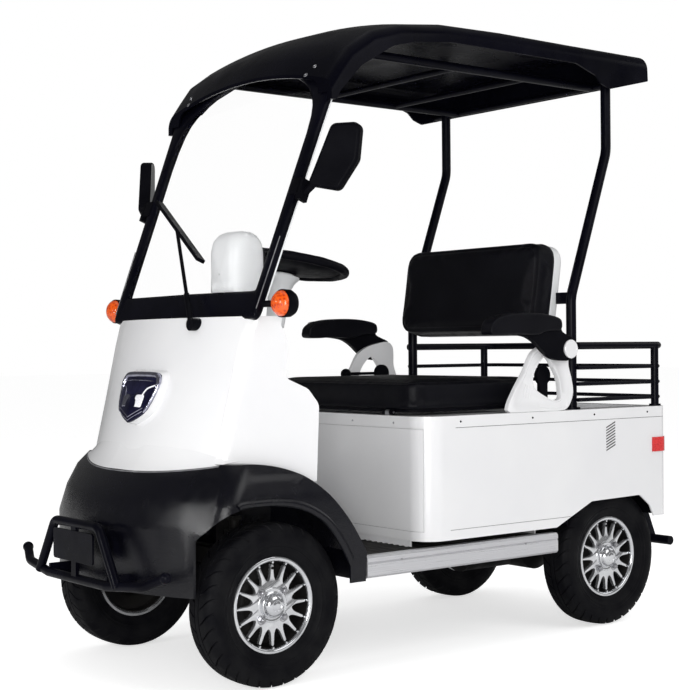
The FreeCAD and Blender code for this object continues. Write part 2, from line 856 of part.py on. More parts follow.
def cowl_body(grow, low_z):
    """The cowl's outer form, drawn in by grow on every side."""
    wires = []
    for z, corner_x, corner_y, crest_y in cowl_rows:
        foot = (corner_x + cowl_flare - grow, at_front(cowl_cut_y), z)
        corner = (corner_x - grow, at_front(corner_y) + grow, z)
        wires.append(bowed_wire(foot, corner, (0, at_front(crest_y) + grow, z), cowl_corner_radius))
    if low_z < cowl_base_z:
        lower = wires[0].copy()
        lower.translate(Vector(0, 0, low_z - cowl_base_z))
        wires = [lower] + wires
    body = loft(wires, True)
    far = cowl_rows[0][3] - cowl_flare
    edge = [(y, min(z, cowl_top_z), r) for y, z, r in cowl_rear_edge]
    edge[-1] = (edge[-1][0], low_z - overrun, 0)
    edge = [(far, low_z - overrun, 0), (far, cowl_top_z, 0)] + edge
    reach = cowl_side_reach()
    return body.common(side_plate(edge, -reach, reach, grow))


def cowl_side_reach():
    return max(row[1] for row in cowl_rows) + cowl_flare + overrun


def make_front_cowl():
    return cowl_body(0, cowl_base_z).cut(cowl_body(cowl_wall, cowl_base_z - overrun))


def skirt_nose(grow, low_z, cut_y):
    wires = []
    rows = [(low_z,) + skirt_rows[0][1:]] + skirt_rows[1:]
    for z, half, corner_y, crest_y in rows:
        foot = (half - grow, at_front(cut_y), z)
        corner = (half - grow, at_front(corner_y) + grow, z)
        wires.append(bowed_wire(foot, corner, (0, at_front(crest_y) + grow, z), skirt_corner_radius))
    return loft(wires, True)


def drawn_in(points, inset):
    """Points of an open y and z line, each moved to the right of its direction of travel."""
    moved = []
    for i, (y, z) in enumerate(points):
        before = points[max(i - 1, 0)]
        after = points[min(i + 1, len(points) - 1)]
        run = math.hypot(after[0] - before[0], after[1] - before[1])
        moved.append((y + inset * (after[1] - before[1]) / run, z - inset * (after[0] - before[0]) / run))
    return moved


def skirt_side(grow, low_z):
    """The side view of the skirt and its guards as a full width block."""
    reach = guard_half - grow
    far = skirt_rows[0][3] - overrun
    top = drawn_in(guard_top_edge, grow)
    curve = Part.BSplineCurve()
    curve.interpolate([Vector(-reach, at_front(y), z) for y, z in top])
    foot_y = guard_foot_y - grow
    corners = [top[-1], (foot_y, guard_foot_z), (foot_y, low_z), (far, low_z), (far, top[0][1]), top[0]]
    points = [Vector(-reach, at_front(y), z) for y, z in corners]
    edges = [curve.toShape()] + [Part.makeLine(a, b) for a, b in zip(points, points[1:])]
    return Part.Face(Part.Wire(edges)).extrude(Vector(2 * reach, 0, 0))


def arch_cut():
    """The wheel opening through the outer side of a mudguard."""
    curve = Part.BSplineCurve()
    points = [Vector(arch_inner_x, at_front(y), z) for y, z in arch_edge]
    curve.interpolate(points)
    low = skirt_bottom_z - overrun
    first = Vector(arch_inner_x, points[0].y, low)
    last = Vector(arch_inner_x, points[-1].y, low)
    edges = [curve.toShape(), Part.makeLine(points[-1], last), Part.makeLine(last, first),
             Part.makeLine(first, points[0])]
    return Part.Face(Part.Wire(edges)).extrude(Vector(guard_half - arch_inner_x + overrun, 0, 0))


def foot_well(grow):
    """The driver's foot space that is cut out between the wheel houses."""
    half = guard_inner_half + grow
    return box(-half, half, at_front(toe_board_y) - grow, at_front(guard_foot_y) + overrun,
               0, guard_top_edge[0][1] + overrun)


def bumper_bracket(grow):
    z = frame_low_z + rail_height / 2
    half = bumper_bracket_height / 2 + grow
    start = at_front(bumper_mid[1])
    end = at_front(-rail_front_reach) - seat_gap
    thick = bumper_bracket_thick / 2 + grow
    return box(rail_x - thick, rail_x + thick, start, end, z - half, z + half)


def make_front_skirt():
    cut_y = guard_foot_y + overrun
    outer = skirt_nose(0, skirt_bottom_z, cut_y).common(skirt_side(0, skirt_bottom_z))
    low = skirt_bottom_z - overrun
    inner = skirt_nose(skirt_wall, low, cut_y).common(skirt_side(skirt_wall, low - overrun))
    void = inner.cut(foot_well(skirt_wall))
    shelf_start = at_front(skirt_rows[0][3])
    shelf = box(-kick_plate_half / 2, kick_plate_half / 2, shelf_start, shelf_start + skirt_shelf_depth,
                frame_top_z + seat_gap, frame_top_z + seat_gap + skirt_wall).common(outer)
    skirt = outer.cut(foot_well(0)).cut(void).fuse(shelf)
    half = guard_inner_half
    under_floor = box(-half, half, at_front(toe_board_y) - overrun, at_front(guard_foot_y), 0,
                      floor_top_z + seat_gap)
    notch = bumper_bracket(seat_gap)
    arch = arch_cut()
    for tool in (cowl_body(-seat_gap, cowl_base_z - seat_gap), arch, mirrored(arch), under_floor, notch,
                 mirrored(notch)):
        skirt = skirt.cut(tool)
    return skirt


def make_head_lamp():
    """A shield shaped lamp face that lies on the bow of the cowl."""
    start = at_front(cowl_rows[0][3] - overrun)
    right = [(lamp_half_top, lamp_high_z), (lamp_half_waist, lamp_waist_z), (lamp_half_low, lamp_cheek_z)]
    outline = [(0, lamp_low_z)] + [(-x, z) for x, z in reversed(right)] + right
    points = [(x, start, z) for x, z in outline]
    shield = plate(points, lamp_corner_radius, (0, cowl_cut_y, 0))
    return shield.common(cowl_body(-lamp_proud, cowl_base_z)).cut(cowl_body(-seat_gap, cowl_base_z))


# Bumpers

def make_front_bumper():
    r = bumper_tube_radius
    left = [bumper_end, bumper_knee, bumper_mid]
    points = [(x, at_front(y), z) for x, y, z in left]
    points += [(-x, y, z) for x, y, z in reversed(points)]
    tube = bent_tube(points, r, bumper_bend)
    ball = Part.makeSphere(bumper_ball_radius, Vector(*points[0]))
    y = at_front(bumper_mid[1])
    foot_z = bumper_mid[2]
    loop_points = [(loop_foot_x, y, foot_z), (loop_top_x, y, loop_top_z), (-loop_top_x, y, loop_top_z),
                   (-loop_foot_x, y, foot_z)]
    loop = bent_tube(loop_points, r, loop_bend)
    below = box(-body_half_width, body_half_width, y - overrun, y + overrun, 0, foot_z - r)
    half = blank_plate_half
    outline = [(-half, y - r, blank_plate_low_z), (half, y - r, blank_plate_low_z),
               (half, y - r, blank_plate_high_z), (-half, y - r, blank_plate_high_z)]
    blank = plate(outline, blank_plate_radius, (0, blank_plate_thick, 0))
    strap = box(-r, r, y - r + blank_plate_thick / 2, y, foot_z, loop_top_z)
    bracket = bumper_bracket(0)
    return tube.fuse([ball, mirrored(ball), loop.cut(below), blank, strap, bracket, mirrored(bracket)])


def make_rear_bumper():
    end_y = at_rear(overall_length - front_overhang)
    y = end_y - rear_bumper_radius
    z = rear_bumper_z
    tube = rod((-rear_bumper_half, y, z), (rear_bumper_half, y, z), rear_bumper_radius)
    r = rear_bumper_radius
    front = at_rear(rear_hanger_front)
    rear = at_rear(rear_hanger_rear)
    outline = [(rear_hanger_x, front, rear_hanger_low_z), (rear_hanger_x, front, rear_hanger_top_z),
               (rear_hanger_x, rear, rear_hanger_top_z), (rear_hanger_x, y + r, z),
               (rear_hanger_x, y, z - r)]
    hanger = plate(outline, [r, r, r, 0, 0], (rear_hanger_thick, 0, 0))
    return tube.fuse([hanger, mirrored(hanger)])


# Windscreen

def lean_screen(shape):
    """From a shape drawn upright, rear face at y zero and foot at z zero, to the leaning screen."""
    shape.rotate(Vector(0, 0, 0), Vector(1, 0, 0), -screen_lean_deg)
    shape.translate(Vector(0, at_front(screen_foot_y), cowl_top_z))
    return shape


def screen_point(x, out, rise):
    lean = math.radians(screen_lean_deg)
    y = at_front(screen_foot_y) - out * math.cos(lean) + rise * math.sin(lean)
    return (x, y, cowl_top_z + out * math.sin(lean) + rise * math.cos(lean))


def screen_prism(half, low, side_high, crest_high, front, rear):
    corner = (half, front, side_high)
    wire = bowed_wire((half, front, low), corner, (0, front, crest_high), screen_corner_radius)
    return Part.Face(wire).extrude(Vector(0, rear - front, 0))


def glass_block(grow):
    """The pane in its rebate, or with grow the slot that takes it."""
    edge = glass_rebate + grow
    middle = -screen_thick / 2
    half = glass_thick / 2 + grow
    return screen_prism(screen_half - screen_post_width + edge, screen_beam_height - edge,
                        screen_opening_side + edge, screen_crest_height - screen_head_height + edge,
                        middle - half, middle + half)


def screen_outer(grow):
    return screen_prism(screen_half + grow, -screen_foot_drop, screen_side_height + grow,
                        screen_crest_height + grow, -screen_thick - grow, grow)


def make_screen_frame():
    opening = screen_prism(screen_half - screen_post_width, screen_beam_height, screen_opening_side,
                           screen_crest_height - screen_head_height, -screen_thick - overrun, overrun)
    frame = lean_screen(screen_outer(0).cut(opening).cut(glass_block(seat_gap)))
    reach = screen_half + overrun
    below = box(-reach, reach, at_front(-screen_half), at_front(screen_half), 0, cowl_top_z + seat_gap)
    return frame.cut(below)


def make_windscreen():
    return lean_screen(glass_block(0))


def make_wiper():
    pivot = Vector(wiper_pivot[0], at_front(wiper_pivot[1]), wiper_pivot[2])
    back = pivot + Vector(0, wiper_pivot_reach, 0)
    front = pivot - Vector(0, wiper_arm_radius, 0)
    motor = rod(tuple(front), tuple(back), wiper_motor_radius).cut(cowl_body(-seat_gap, cowl_base_z))
    end = screen_point(wiper_arm_end_x, wiper_arm_end_out, wiper_arm_end_rise)
    arm = rod(tuple(pivot), end, wiper_arm_radius)
    middle = Vector(*pivot) + (Vector(*end) - pivot) * wiper_sleeve_share
    sleeve = rod(tuple(pivot), tuple(middle), wiper_arm_radius + wiper_arm_radius / 2)
    half_length = math.hypot(wiper_blade_half_x, wiper_blade_half_rise)
    turn = math.degrees(math.atan2(wiper_blade_half_x, wiper_blade_half_rise))
    width = wiper_blade_width / 2
    face = -screen_thick / 2 - glass_thick / 2 - seat_gap
    blade = box(-width, width, -wiper_arm_end_out - wiper_arm_radius, face, -half_length, half_length)
    blade.rotate(Vector(0, 0, 0), Vector(0, 1, 0), -turn)
    blade.translate(Vector(wiper_arm_end_x, 0, wiper_arm_end_rise))
    return arm.fuse([motor, sleeve, lean_screen(blade)])


# Canopy

def canopy_loft(grow, front_shift, rear_shift):
    wires = []
    last = len(canopy_rows) - 1
    for i, (y, half, edge_z, crown_z) in enumerate(canopy_rows):
        shift = front_shift if i == 0 else (rear_shift if i == last else 0)
        place = at_front(y) + shift
        foot = (half - grow, place, canopy_foot_z - grow)
        corner = (half - grow, place, edge_z - grow)
        wires.append(bowed_wire(foot, corner, (0, place, crown_z - grow), canopy_edge_radius - grow))
    return loft(wires, True)


def make_canopy():
    front = canopy_rows[0][0]
    reach = canopy_half_width + overrun
    first_z = canopy_low_edge[0][1]
    side = [(front - overrun, first_z, 0)] + canopy_low_edge + canopy_tail_edge
    side.append((front - overrun, canopy_tail_edge[-1][1], 0))
    shell = canopy_loft(0, 0, 0).common(side_plate(side, -reach, reach))
    shell = shell.cut(canopy_loft(canopy_wall, canopy_wall, -canopy_tail_wall))
    start = at_front(front) - overrun
    arch = bowed_wire((visor_half, start, canopy_foot_z), (visor_half, start, visor_side_z),
                      (0, start, visor_crest_z), visor_radius)
    shell = shell.cut(Part.Face(arch).extrude(Vector(0, overrun + canopy_wall, 0)))
    return shell.cut(lean_screen(screen_outer(seat_gap)))


def post_path():
    foot_y = at_rear(post_foot_y)
    lean_y = at_rear(post_lean_y)
    return [(post_x, foot_y, bench_z + post_flange_thick), (post_x, foot_y, post_knee_z),
            (post_x, lean_y, post_lean_z), (post_x, lean_y, post_top_z)]


def post_tube(radius):
    return bent_tube(post_path(), radius, post_bend)


def make_canopy_frame():
    foot = post_path()[0]
    low = (foot[0], foot[1], bench_z + seat_gap)
    top = (foot[0], foot[1], bench_z + post_flange_thick)
    flange = rod(low, top, post_flange_radius)
    start = at_front(roof_tube_front)
    head = screen_point(roof_tube_x, -seat_gap, roof_tube_start)
    end = (roof_tube_x, at_rear(post_lean_y), roof_tube_z)
    rail = bent_tube([head, (roof_tube_x, start, roof_tube_z), end], roof_tube_radius, roof_tube_bend)
    rail = rail.cut(lean_screen(screen_outer(seat_gap)))
    pieces = [flange, rail, post_tube(post_radius)]
    pieces += [mirrored(piece) for piece in pieces]
    inside = canopy_loft(canopy_wall + seat_gap, 0, 0)
    for y, reach in roof_cross_tubes:
        place = at_rear(y) if y == post_lean_y else at_front(y)
        cross = rod((-reach, place, roof_tube_z), (reach, place, roof_tube_z), roof_cross_radius)
        pieces.append(cross.common(inside))
    return pieces[0].fuse(pieces[1:])


# Rear body

def body_plan(grow, z0, z1):
    """The rounded plan of the body drawn in by grow."""
    half = body_half_width - grow
    front = at_rear(box_front_y) + grow
    rear = at_rear(body_rear_y) - grow
    points = [(half, front, z0), (half, rear, z0), (-half, rear, z0), (-half, front, z0)]
    front_radius = body_corner_radius - grow
    rear_radius = body_rear_radius - grow
    radii = [front_radius, rear_radius, rear_radius, front_radius]
    return plate(points, radii, (0, 0, z1 - z0))


def body_skin(z0, z1):
    return body_plan(0, z0, z1).cut(body_plan(wall, z0 - overrun, z1 + overrun))


def panel_box(grow):
    front = at_rear(box_front_y) - overrun
    half = panel_half + grow
    return box(-half, half, front, front + overrun + panel_depth, panel_low_z - grow, panel_high_z + grow)


def panel_seat():
    """A ledge round the panel's opening, which carries the panel's edge."""
    low = panel_low_z - panel_lip
    high = panel_high_z + panel_lip
    ledge = body_plan(wall / 2, low, high).cut(body_plan(2 * wall, low - overrun, high + overrun))
    ledge = ledge.common(panel_box(panel_lip)).cut(panel_box(-panel_lip))
    place = body_plan(0, low, high).cut(body_plan(wall + seat_gap, low - overrun, high + overrun))
    return ledge.cut(place.common(panel_box(panel_gap)))


def bed_block(grow, low_z, high_z):
    half = body_half_width - rim_width + grow
    y0 = at_rear(bed_front_y) - grow
    y1 = at_rear(body_rear_y) - bed_tail_width + grow
    points = [(half, y0, low_z), (half, y1, low_z), (-half, y1, low_z), (-half, y0, low_z)]
    return plate(points, bed_corner_radius + grow, (0, 0, high_z - low_z))


def make_rear_body():
    outer = body_plan(0, body_low_z, bench_z)
    void = body_plan(wall, body_low_z - overrun, bench_z - wall)
    void = void.cut(bed_block(wall, bed_floor_z - wall, bench_z))
    body = outer.cut([void, bed_block(0, bed_floor_z, bench_z + overrun)])
    arch = side_plate(wheel_arch, body_half_width - 2 * wall, body_half_width + wall)
    hole_front = at_rear(box_front_y) + deck_hole_front
    hole = box(-deck_hole_half, deck_hole_half, hole_front, hole_front + deck_hole_length,
               bench_z - 2 * wall, bench_z + overrun)
    body = body.cut([arch, mirrored(arch), hole, panel_box(panel_gap)])
    front = at_rear(box_front_y)
    kick = box(-kick_plate_half, kick_plate_half, front + wall / 2, front + 2 * wall,
               floor_top_z + seat_gap, panel_low_z - panel_gap)
    back = at_rear(bulkhead_y)
    half = body_half_width - wall / 2
    bulkhead = box(-half, half, back, back + wall, body_low_z, bench_z - wall / 2)
    foot = box(-kick_plate_half, kick_plate_half, back, back + wall, frame_top_z + seat_gap, bed_floor_z)
    return body.fuse([kick, bulkhead, foot, panel_seat()])


def make_front_panel():
    return body_skin(panel_low_z, panel_high_z).common(panel_box(0))


def make_wheel_liners():
    """An open tray over each rear wheel, inside the body."""
    outer_x = body_half_width - wall - seat_gap
    y0 = rear_axle_y - liner_half_length
    y1 = rear_axle_y + liner_half_length
    block = box(liner_inner_x, outer_x, y0, y1, body_low_z, liner_top_z)
    w = liner_wall
    inner = box(liner_inner_x + w, outer_x + overrun, y0 + w, y1 - w, body_low_z - overrun, liner_top_z - w)
    liner = block.cut(inner).common(body_plan(wall + seat_gap, body_low_z, liner_top_z))
    return both_sides(liner)


def make_battery():
    front = at_rear(box_front_y) + battery_front_gap
    low = frame_top_z + seat_gap
    half = battery_half_width
    return box(-half, half, front, front + battery_length, low, low + battery_height)


def make_load_rails():
    y_front = at_rear(rail_front_y)
    y_run = at_rear(rail_run_y)
    x = rail_post_x
    pieces = []
    for z in [rail_top_z] + rail_rod_z:
        radius = rail_top_radius if z == rail_top_z else rail_rod_radius
        path = [(x, y_front, z), (x, y_run, z), (-x, y_run, z), (-x, y_front, z)]
        pieces.append(bent_tube(path, radius, rail_bend))
    low = bench_z + seat_gap
    y_post = at_rear(rail_post_y)
    post = rod((x, y_post, low), (x, y_post, rail_top_z), rail_post_radius)
    foot = rod((x, y_post, low), (x, y_post, low + rail_foot_thick), rail_foot_radius)
    pieces += [post, foot, mirrored(post), mirrored(foot)]
    rails = pieces[0].fuse(pieces[1:])
    return rails.cut(both_sides(post_tube(post_radius + seat_gap)))


def make_tail_lamps():
    low = tail_lamp_z - tail_lamp_height / 2
    high = low + tail_lamp_height
    rear = at_rear(body_rear_y)
    ring = body_plan(-tail_lamp_proud, low, high).cut(body_plan(-seat_gap, low - overrun, high + overrun))
    reach = body_half_width + overrun
    corner = box(body_half_width - tail_lamp_across, reach, rear - tail_lamp_wrap, rear + overrun,
                 low, high)
    return both_sides(ring.common(corner))


# Seat

def seat_plan(inset, low_z, high_z, front):
    half = cushion_half - inset
    rear = at_rear(cushion_rear) - inset
    r = cushion_corner_radius - inset
    points = [(half, front, low_z), (half, rear, low_z), (-half, rear, low_z), (-half, front, low_z)]
    return plate(points, r, (0, 0, high_z - low_z))


def make_seat_cushion():
    pad = seat_plan(0, cushion_low_z + seat_gap, cushion_top_z, at_rear(cushion_front))
    rim = [e for e in pad.Edges if abs(e.BoundBox.ZMin - cushion_top_z) < wall]
    return pad.makeFillet(cushion_edge_radius, rim)


def hinge_place():
    return at_rear(seat_hinge_y), cushion_low_z - pan_thick


def hinge_barrel(x, width, radius):
    y, z = hinge_place()
    return rod((x - width / 2, y, z), (x + width / 2, y, z), radius)


def make_seat_base():
    y, z = hinge_place()
    pan_front = y + seat_hinge_radius + 2 * seat_gap
    pan = seat_plan(pan_inset, z, cushion_low_z, pan_front)
    pieces = [pan]
    offset = (hinge_centre_width + hinge_lug_width) / 2 + seat_gap
    for side in (-1, 1):
        x = seat_hinge_x + side * offset
        pieces.append(hinge_barrel(x, hinge_lug_width, seat_hinge_radius))
        pieces.append(box(x - hinge_lug_width / 2, x + hinge_lug_width / 2, y, pan_front + pan_inset,
                          z, z + seat_hinge_radius))
    rear = at_rear(cushion_rear) - 2 * pan_inset
    half = seat_stop_size / 2
    stop = box(seat_stop_x - half, seat_stop_x + half, rear - seat_stop_size, rear, bench_z + seat_gap,
               z + seat_gap)
    pieces.append(stop)
    pieces += [mirrored(piece) for piece in pieces[1:]]
    width = hinge_centre_width + 2 * hinge_lug_width
    bore = hinge_barrel(seat_hinge_x, 2 * width, seat_hinge_pin + seat_gap)
    return pieces[0].fuse(pieces[1:]).cut([bore, mirrored(bore)])


def make_seat_hinges():
    y, z = hinge_place()
    width = hinge_centre_width
    barrel = hinge_barrel(seat_hinge_x, width, seat_hinge_radius)
    pin = hinge_barrel(seat_hinge_x, width + 2 * hinge_lug_width + 2 * seat_gap, seat_hinge_pin)
    block = box(seat_hinge_x - width / 2, seat_hinge_x + width / 2, y - seat_hinge_radius,
                y + seat_hinge_radius, bench_z + seat_gap, z)
    hinge = barrel.fuse([pin, block])
    return Part.makeCompound([hinge, mirrored(hinge)])


def lean_back(shape):
    """From upright, front face at y zero and foot at z zero, to the leaning backrest."""
    shape.rotate(Vector(0, 0, 0), Vector(1, 0, 0), -back_lean_deg)
    shape.translate(Vector(0, at_rear(back_front_y), back_low_z))
    return shape


def back_slab(grow, front, thick):
    half = back_half + grow
    points = [(-half, front, -grow), (half, front, -grow), (half, front, back_height + grow),
              (-half, front, back_height + grow)]
    return plate(points, back_corner_radius + grow, (0, thick, 0))


def edges_at(shape, y):
    boxes = [(e, e.BoundBox) for e in shape.Edges]
    return [e for e, b in boxes if b.YLength < seat_gap and abs(b.YMin - y) < seat_gap]


def make_backrest_cushion():
    pad = back_slab(0, 0, back_pad_thick)
    return lean_back(pad.makeFillet(back_edge_radius, edges_at(pad, 0)))


def make_backrest_shell():
    start = back_pad_thick + seat_gap
    shell = back_slab(back_shell_grow, start, back_shell_thick)
    shell = lean_back(shell.makeFillet(back_edge_radius, edges_at(shell, start + back_shell_thick)))
    z0 = back_bracket_z - back_bracket_height / 2
    y0 = at_rear(post_foot_y) - back_bracket_thick / 2
    bracket = box(back_half - 2 * back_bracket_thick, post_x, y0 - back_bracket_thick, y0, z0,
                  z0 + back_bracket_height)
    bracket = bracket.cut(post_tube(post_radius + seat_gap))
    return shell.fuse([bracket, mirrored(bracket)])


def armrest_pin(radius, x0, x1):
    y = at_rear(arm_pivot_y)
    return rod((x0, y, arm_pivot_z), (x1, y, arm_pivot_z), radius)


def make_armrest():
    pad = side_plate(arm_pad_outline, arm_inner_x, arm_outer_x)
    elbow = side_plate(arm_elbow_outline, arm_elbow_inner_x, arm_elbow_outer_x)
    eye = armrest_pin(arm_eye_radius, arm_elbow_inner_x, arm_elbow_outer_x)
    return pad.fuse([elbow, eye]).cut(armrest_pin(arm_pin_radius + seat_gap, bracket_inner_x, arm_outer_x))


def make_armrest_brackets():
    side = side_plate(bracket_outline, bracket_inner_x, bracket_outer_x)
    hole = side_plate(bracket_hole, bracket_inner_x - wall, bracket_outer_x + wall)
    eye = armrest_pin(arm_eye_radius - wall, bracket_inner_x, bracket_outer_x)
    boss = armrest_pin(arm_boss_radius, bracket_inner_x, arm_elbow_inner_x - seat_gap)
    pin = armrest_pin(arm_pin_radius, bracket_inner_x, arm_elbow_outer_x + arm_disc_thick)
    disc_start = arm_elbow_outer_x + seat_gap
    disc = armrest_pin(arm_disc_radius, disc_start, disc_start + arm_disc_thick)
    bracket = side.cut(hole).fuse([eye, boss, pin, disc])
    return Part.makeCompound([bracket, mirrored(bracket)])


def make_hand_levers():
    """A round foot on each side of the seat, the right one with a rod and a ball."""
    y = at_rear(lever_y)
    half = lever_disc_thick / 2
    disc = rod((lever_x - half, y, lever_z), (lever_x + half, y, lever_z), lever_disc_radius)
    foot = box(lever_x - half, lever_x + half, y - lever_foot_half, y + lever_foot_half,
               bench_z + seat_gap, lever_z)
    left = disc.fuse(foot)
    ball_y = y - lever_length
    arm = rod((-lever_x, y, lever_z), (-lever_x, ball_y, lever_z), lever_rod_radius)
    ball = Part.makeSphere(lever_knob_radius, Vector(-lever_x, ball_y, lever_z))
    return Part.makeCompound([left, mirrored(left).fuse([arm, ball])])


# Steering and the driver's controls

def column_point(below):
    """A point on the steering axis, measured down from the wheel's centre."""
    lean = math.radians(column_lean_deg)
    y = at_front(wheel_centre_y) - below * math.sin(lean)
    return Vector(0, y, wheel_centre_z - below * math.cos(lean))


def column_direction():
    return (column_point(0) - column_point(wheel_hub_height)).normalize()


def make_steering_column():
    top = column_point(wheel_hub_height + steering_gap)
    shroud_foot = column_point(wheel_hub_height + steering_gap + shroud_length)
    shroud = Part.makeCone(shroud_foot_radius, shroud_radius, shroud_length, shroud_foot, top - shroud_foot)
    low_z = floor_top_z + seat_gap
    floor_reach = (wheel_centre_z - low_z) / math.cos(math.radians(column_lean_deg))
    tube = rod(tuple(column_point(floor_reach + overrun)), tuple(shroud_foot), column_radius)
    foot = column_point(floor_reach)
    flange = rod((0, foot.y, low_z), (0, foot.y, low_z + column_flange_thick), column_flange_radius)
    reach = column_flange_radius + overrun
    below = box(-reach, reach, foot.y - reach, foot.y + reach, 0, low_z)
    return tube.cut(below).fuse([shroud, flange])


def make_steering_wheel():
    centre = column_point(0)
    axis = column_direction()
    rim = Part.makeTorus(wheel_rim_radius, wheel_grip_radius, centre, axis)
    hub = Part.makeCylinder(wheel_hub_radius, wheel_hub_height, column_point(wheel_hub_height), axis)
    pieces = [hub]
    for i in range(wheel_spoke_count):
        spoke = box(-wheel_spoke_width / 2, wheel_spoke_width / 2, 0, wheel_rim_radius,
                    -wheel_spoke_thick / 2, wheel_spoke_thick / 2)
        spoke.rotate(Vector(0, 0, 0), Vector(0, 0, 1), wheel_spoke_start_deg + 360 * i / wheel_spoke_count)
        spoke.rotate(Vector(0, 0, 0), Vector(1, 0, 0), -column_lean_deg)
        spoke.translate(centre)
        pieces.append(spoke)
    return rim.fuse(pieces)


def make_dash_pod():
    pod = side_plate(pod_outline, pod_inner_x, pod_outer_x)
    sides = [e for e in pod.Edges if e.BoundBox.XLength < seat_gap and e.BoundBox.ZMax > cowl_top_z + wall]
    return pod.makeFillet(pod_edge_radius, sides)


def make_pedals():
    y = at_front(pedal_y)
    half = pedal_width / 2
    pad = box(-half, half, -pedal_thick / 2, pedal_thick / 2, -pedal_height / 2, pedal_height / 2)
    pad.rotate(Vector(0, 0, 0), Vector(1, 0, 0), -pedal_lean_deg)
    pad.translate(Vector(pedal_x, y, pedal_z))
    start = (pedal_x, at_front(toe_board_y) + seat_gap, pedal_stalk_z)
    stalk = rod(start, (pedal_x, y, pedal_z), pedal_stalk_radius)
    pedal = pad.fuse(stalk)
    clear = foot_well(-seat_gap)
    pedal = pedal.common(clear)
    return Part.makeCompound([pedal, mirrored(pedal)])


# Lamps and mirrors at the windscreen

def make_turn_signals():
    y = at_front(signal_y)
    body = rod((signal_x, y, signal_z), (signal_x, y + signal_body_length, signal_z), signal_radius)
    dome_radius = dome_sphere(signal_lens_radius, signal_dome_rise)
    dome = Part.makeSphere(dome_radius, Vector(signal_x, y - signal_dome_rise + dome_radius, signal_z))
    front = rod((signal_x, y, signal_z), (signal_x, y - signal_dome_rise, signal_z), signal_radius)
    stalk_y = at_front(signal_stalk_y)
    stalk_x = screen_half + seat_gap
    stalk = rod((stalk_x, stalk_y, signal_z), (signal_x, stalk_y, signal_z), signal_stalk_radius)
    signal = body.fuse([dome.common(front), stalk])
    return Part.makeCompound([signal, mirrored(signal)])


def make_mirrors():
    points = [(across, 0, z) for across, z, radius in mirror_outline]
    head = plate(points, [radius for across, z, radius in mirror_outline], (0, mirror_depth, 0))
    head = head.makeFillet(mirror_edge_radius, edges_at(head, 0))
    head.rotate(Vector(0, 0, 0), Vector(0, 0, 1), mirror_turn_deg)
    head.translate(Vector(mirror_x, at_front(mirror_y) - mirror_depth / 2, 0))
    half = mirror_clamp_height / 2
    clamp = lean_screen(box(screen_half + seat_gap, screen_half + mirror_clamp_thick, -screen_thick, 0,
                            mirror_clamp_rise - half, mirror_clamp_rise + half))
    x0, y0, z0 = mirror_stalk_start
    x1, y1, z1 = mirror_stalk_end
    stalk = rod((x0, at_front(y0), z0), (x1, at_front(y1), z1), mirror_stalk_radius)
    mirror = head.fuse([clamp, stalk])
    return Part.makeCompound([mirror, mirrored(mirror)])


def main():
    os.makedirs("parts", exist_ok=True)
    tyre = make_tyre()
    rim = make_rim()
    for axle, track, y in (("front", front_track, front_axle_y), ("rear", rear_track, rear_axle_y)):
        for word, side in (("left", 1), ("right", -1)):
            save("tyre_" + axle + "_" + word, place_wheel(tyre, side, track / 2, y))
            save("rim_" + axle + "_" + word, place_wheel(rim, side, track / 2, y))
    knuckle = make_knuckle()
    save("knuckle_left", knuckle)
    save("knuckle_right", mirrored(knuckle))
    armrest = make_armrest()
    save("armrest_left", armrest)
    save("armrest_right", mirrored(armrest))
    save("tie_rod", make_tie_rod())
    save("front_axle", make_front_axle())
    save("rear_axle", make_rear_axle())
    save("spring_struts", make_spring_struts())
    save("frame", make_frame())
    save("floor_pan", make_floor_pan())
    save("side_sills", both_sides(make_side_sills()))
    save("front_cowl", make_front_cowl())
    save("front_skirt", make_front_skirt())
    save("head_lamp", make_head_lamp())
    save("front_bumper", make_front_bumper())
    save("rear_bumper", make_rear_bumper())
    save("screen_frame", make_screen_frame())
    save("windscreen", make_windscreen())
    save("wiper", make_wiper())
    save("canopy", make_canopy())
    save("canopy_frame", make_canopy_frame())
    save("rear_body", make_rear_body())
    save("front_panel", make_front_panel())
    save("wheel_liners", make_wheel_liners())
    save("battery_pack", make_battery())
    save("load_rails", make_load_rails())
    save("tail_lamps", make_tail_lamps())
    save("seat_cushion", make_seat_cushion())
    save("seat_base", make_seat_base())
    save("seat_hinges", make_seat_hinges())
    save("backrest_cushion", make_backrest_cushion())
    save("backrest_shell", make_backrest_shell())
    save("armrest_brackets", make_armrest_brackets())
    save("hand_levers", make_hand_levers())
    save("steering_column", make_steering_column())
    save("steering_wheel", make_steering_wheel())
    save("dash_pod", make_dash_pod())
    save("pedals", make_pedals())
    save("turn_signals", make_turn_signals())
    save("mirrors", make_mirrors())


main()
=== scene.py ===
import math

import bmesh
import bpy
from mathutils import Matrix, Vector
from mathutils.bvhtree import BVHTree


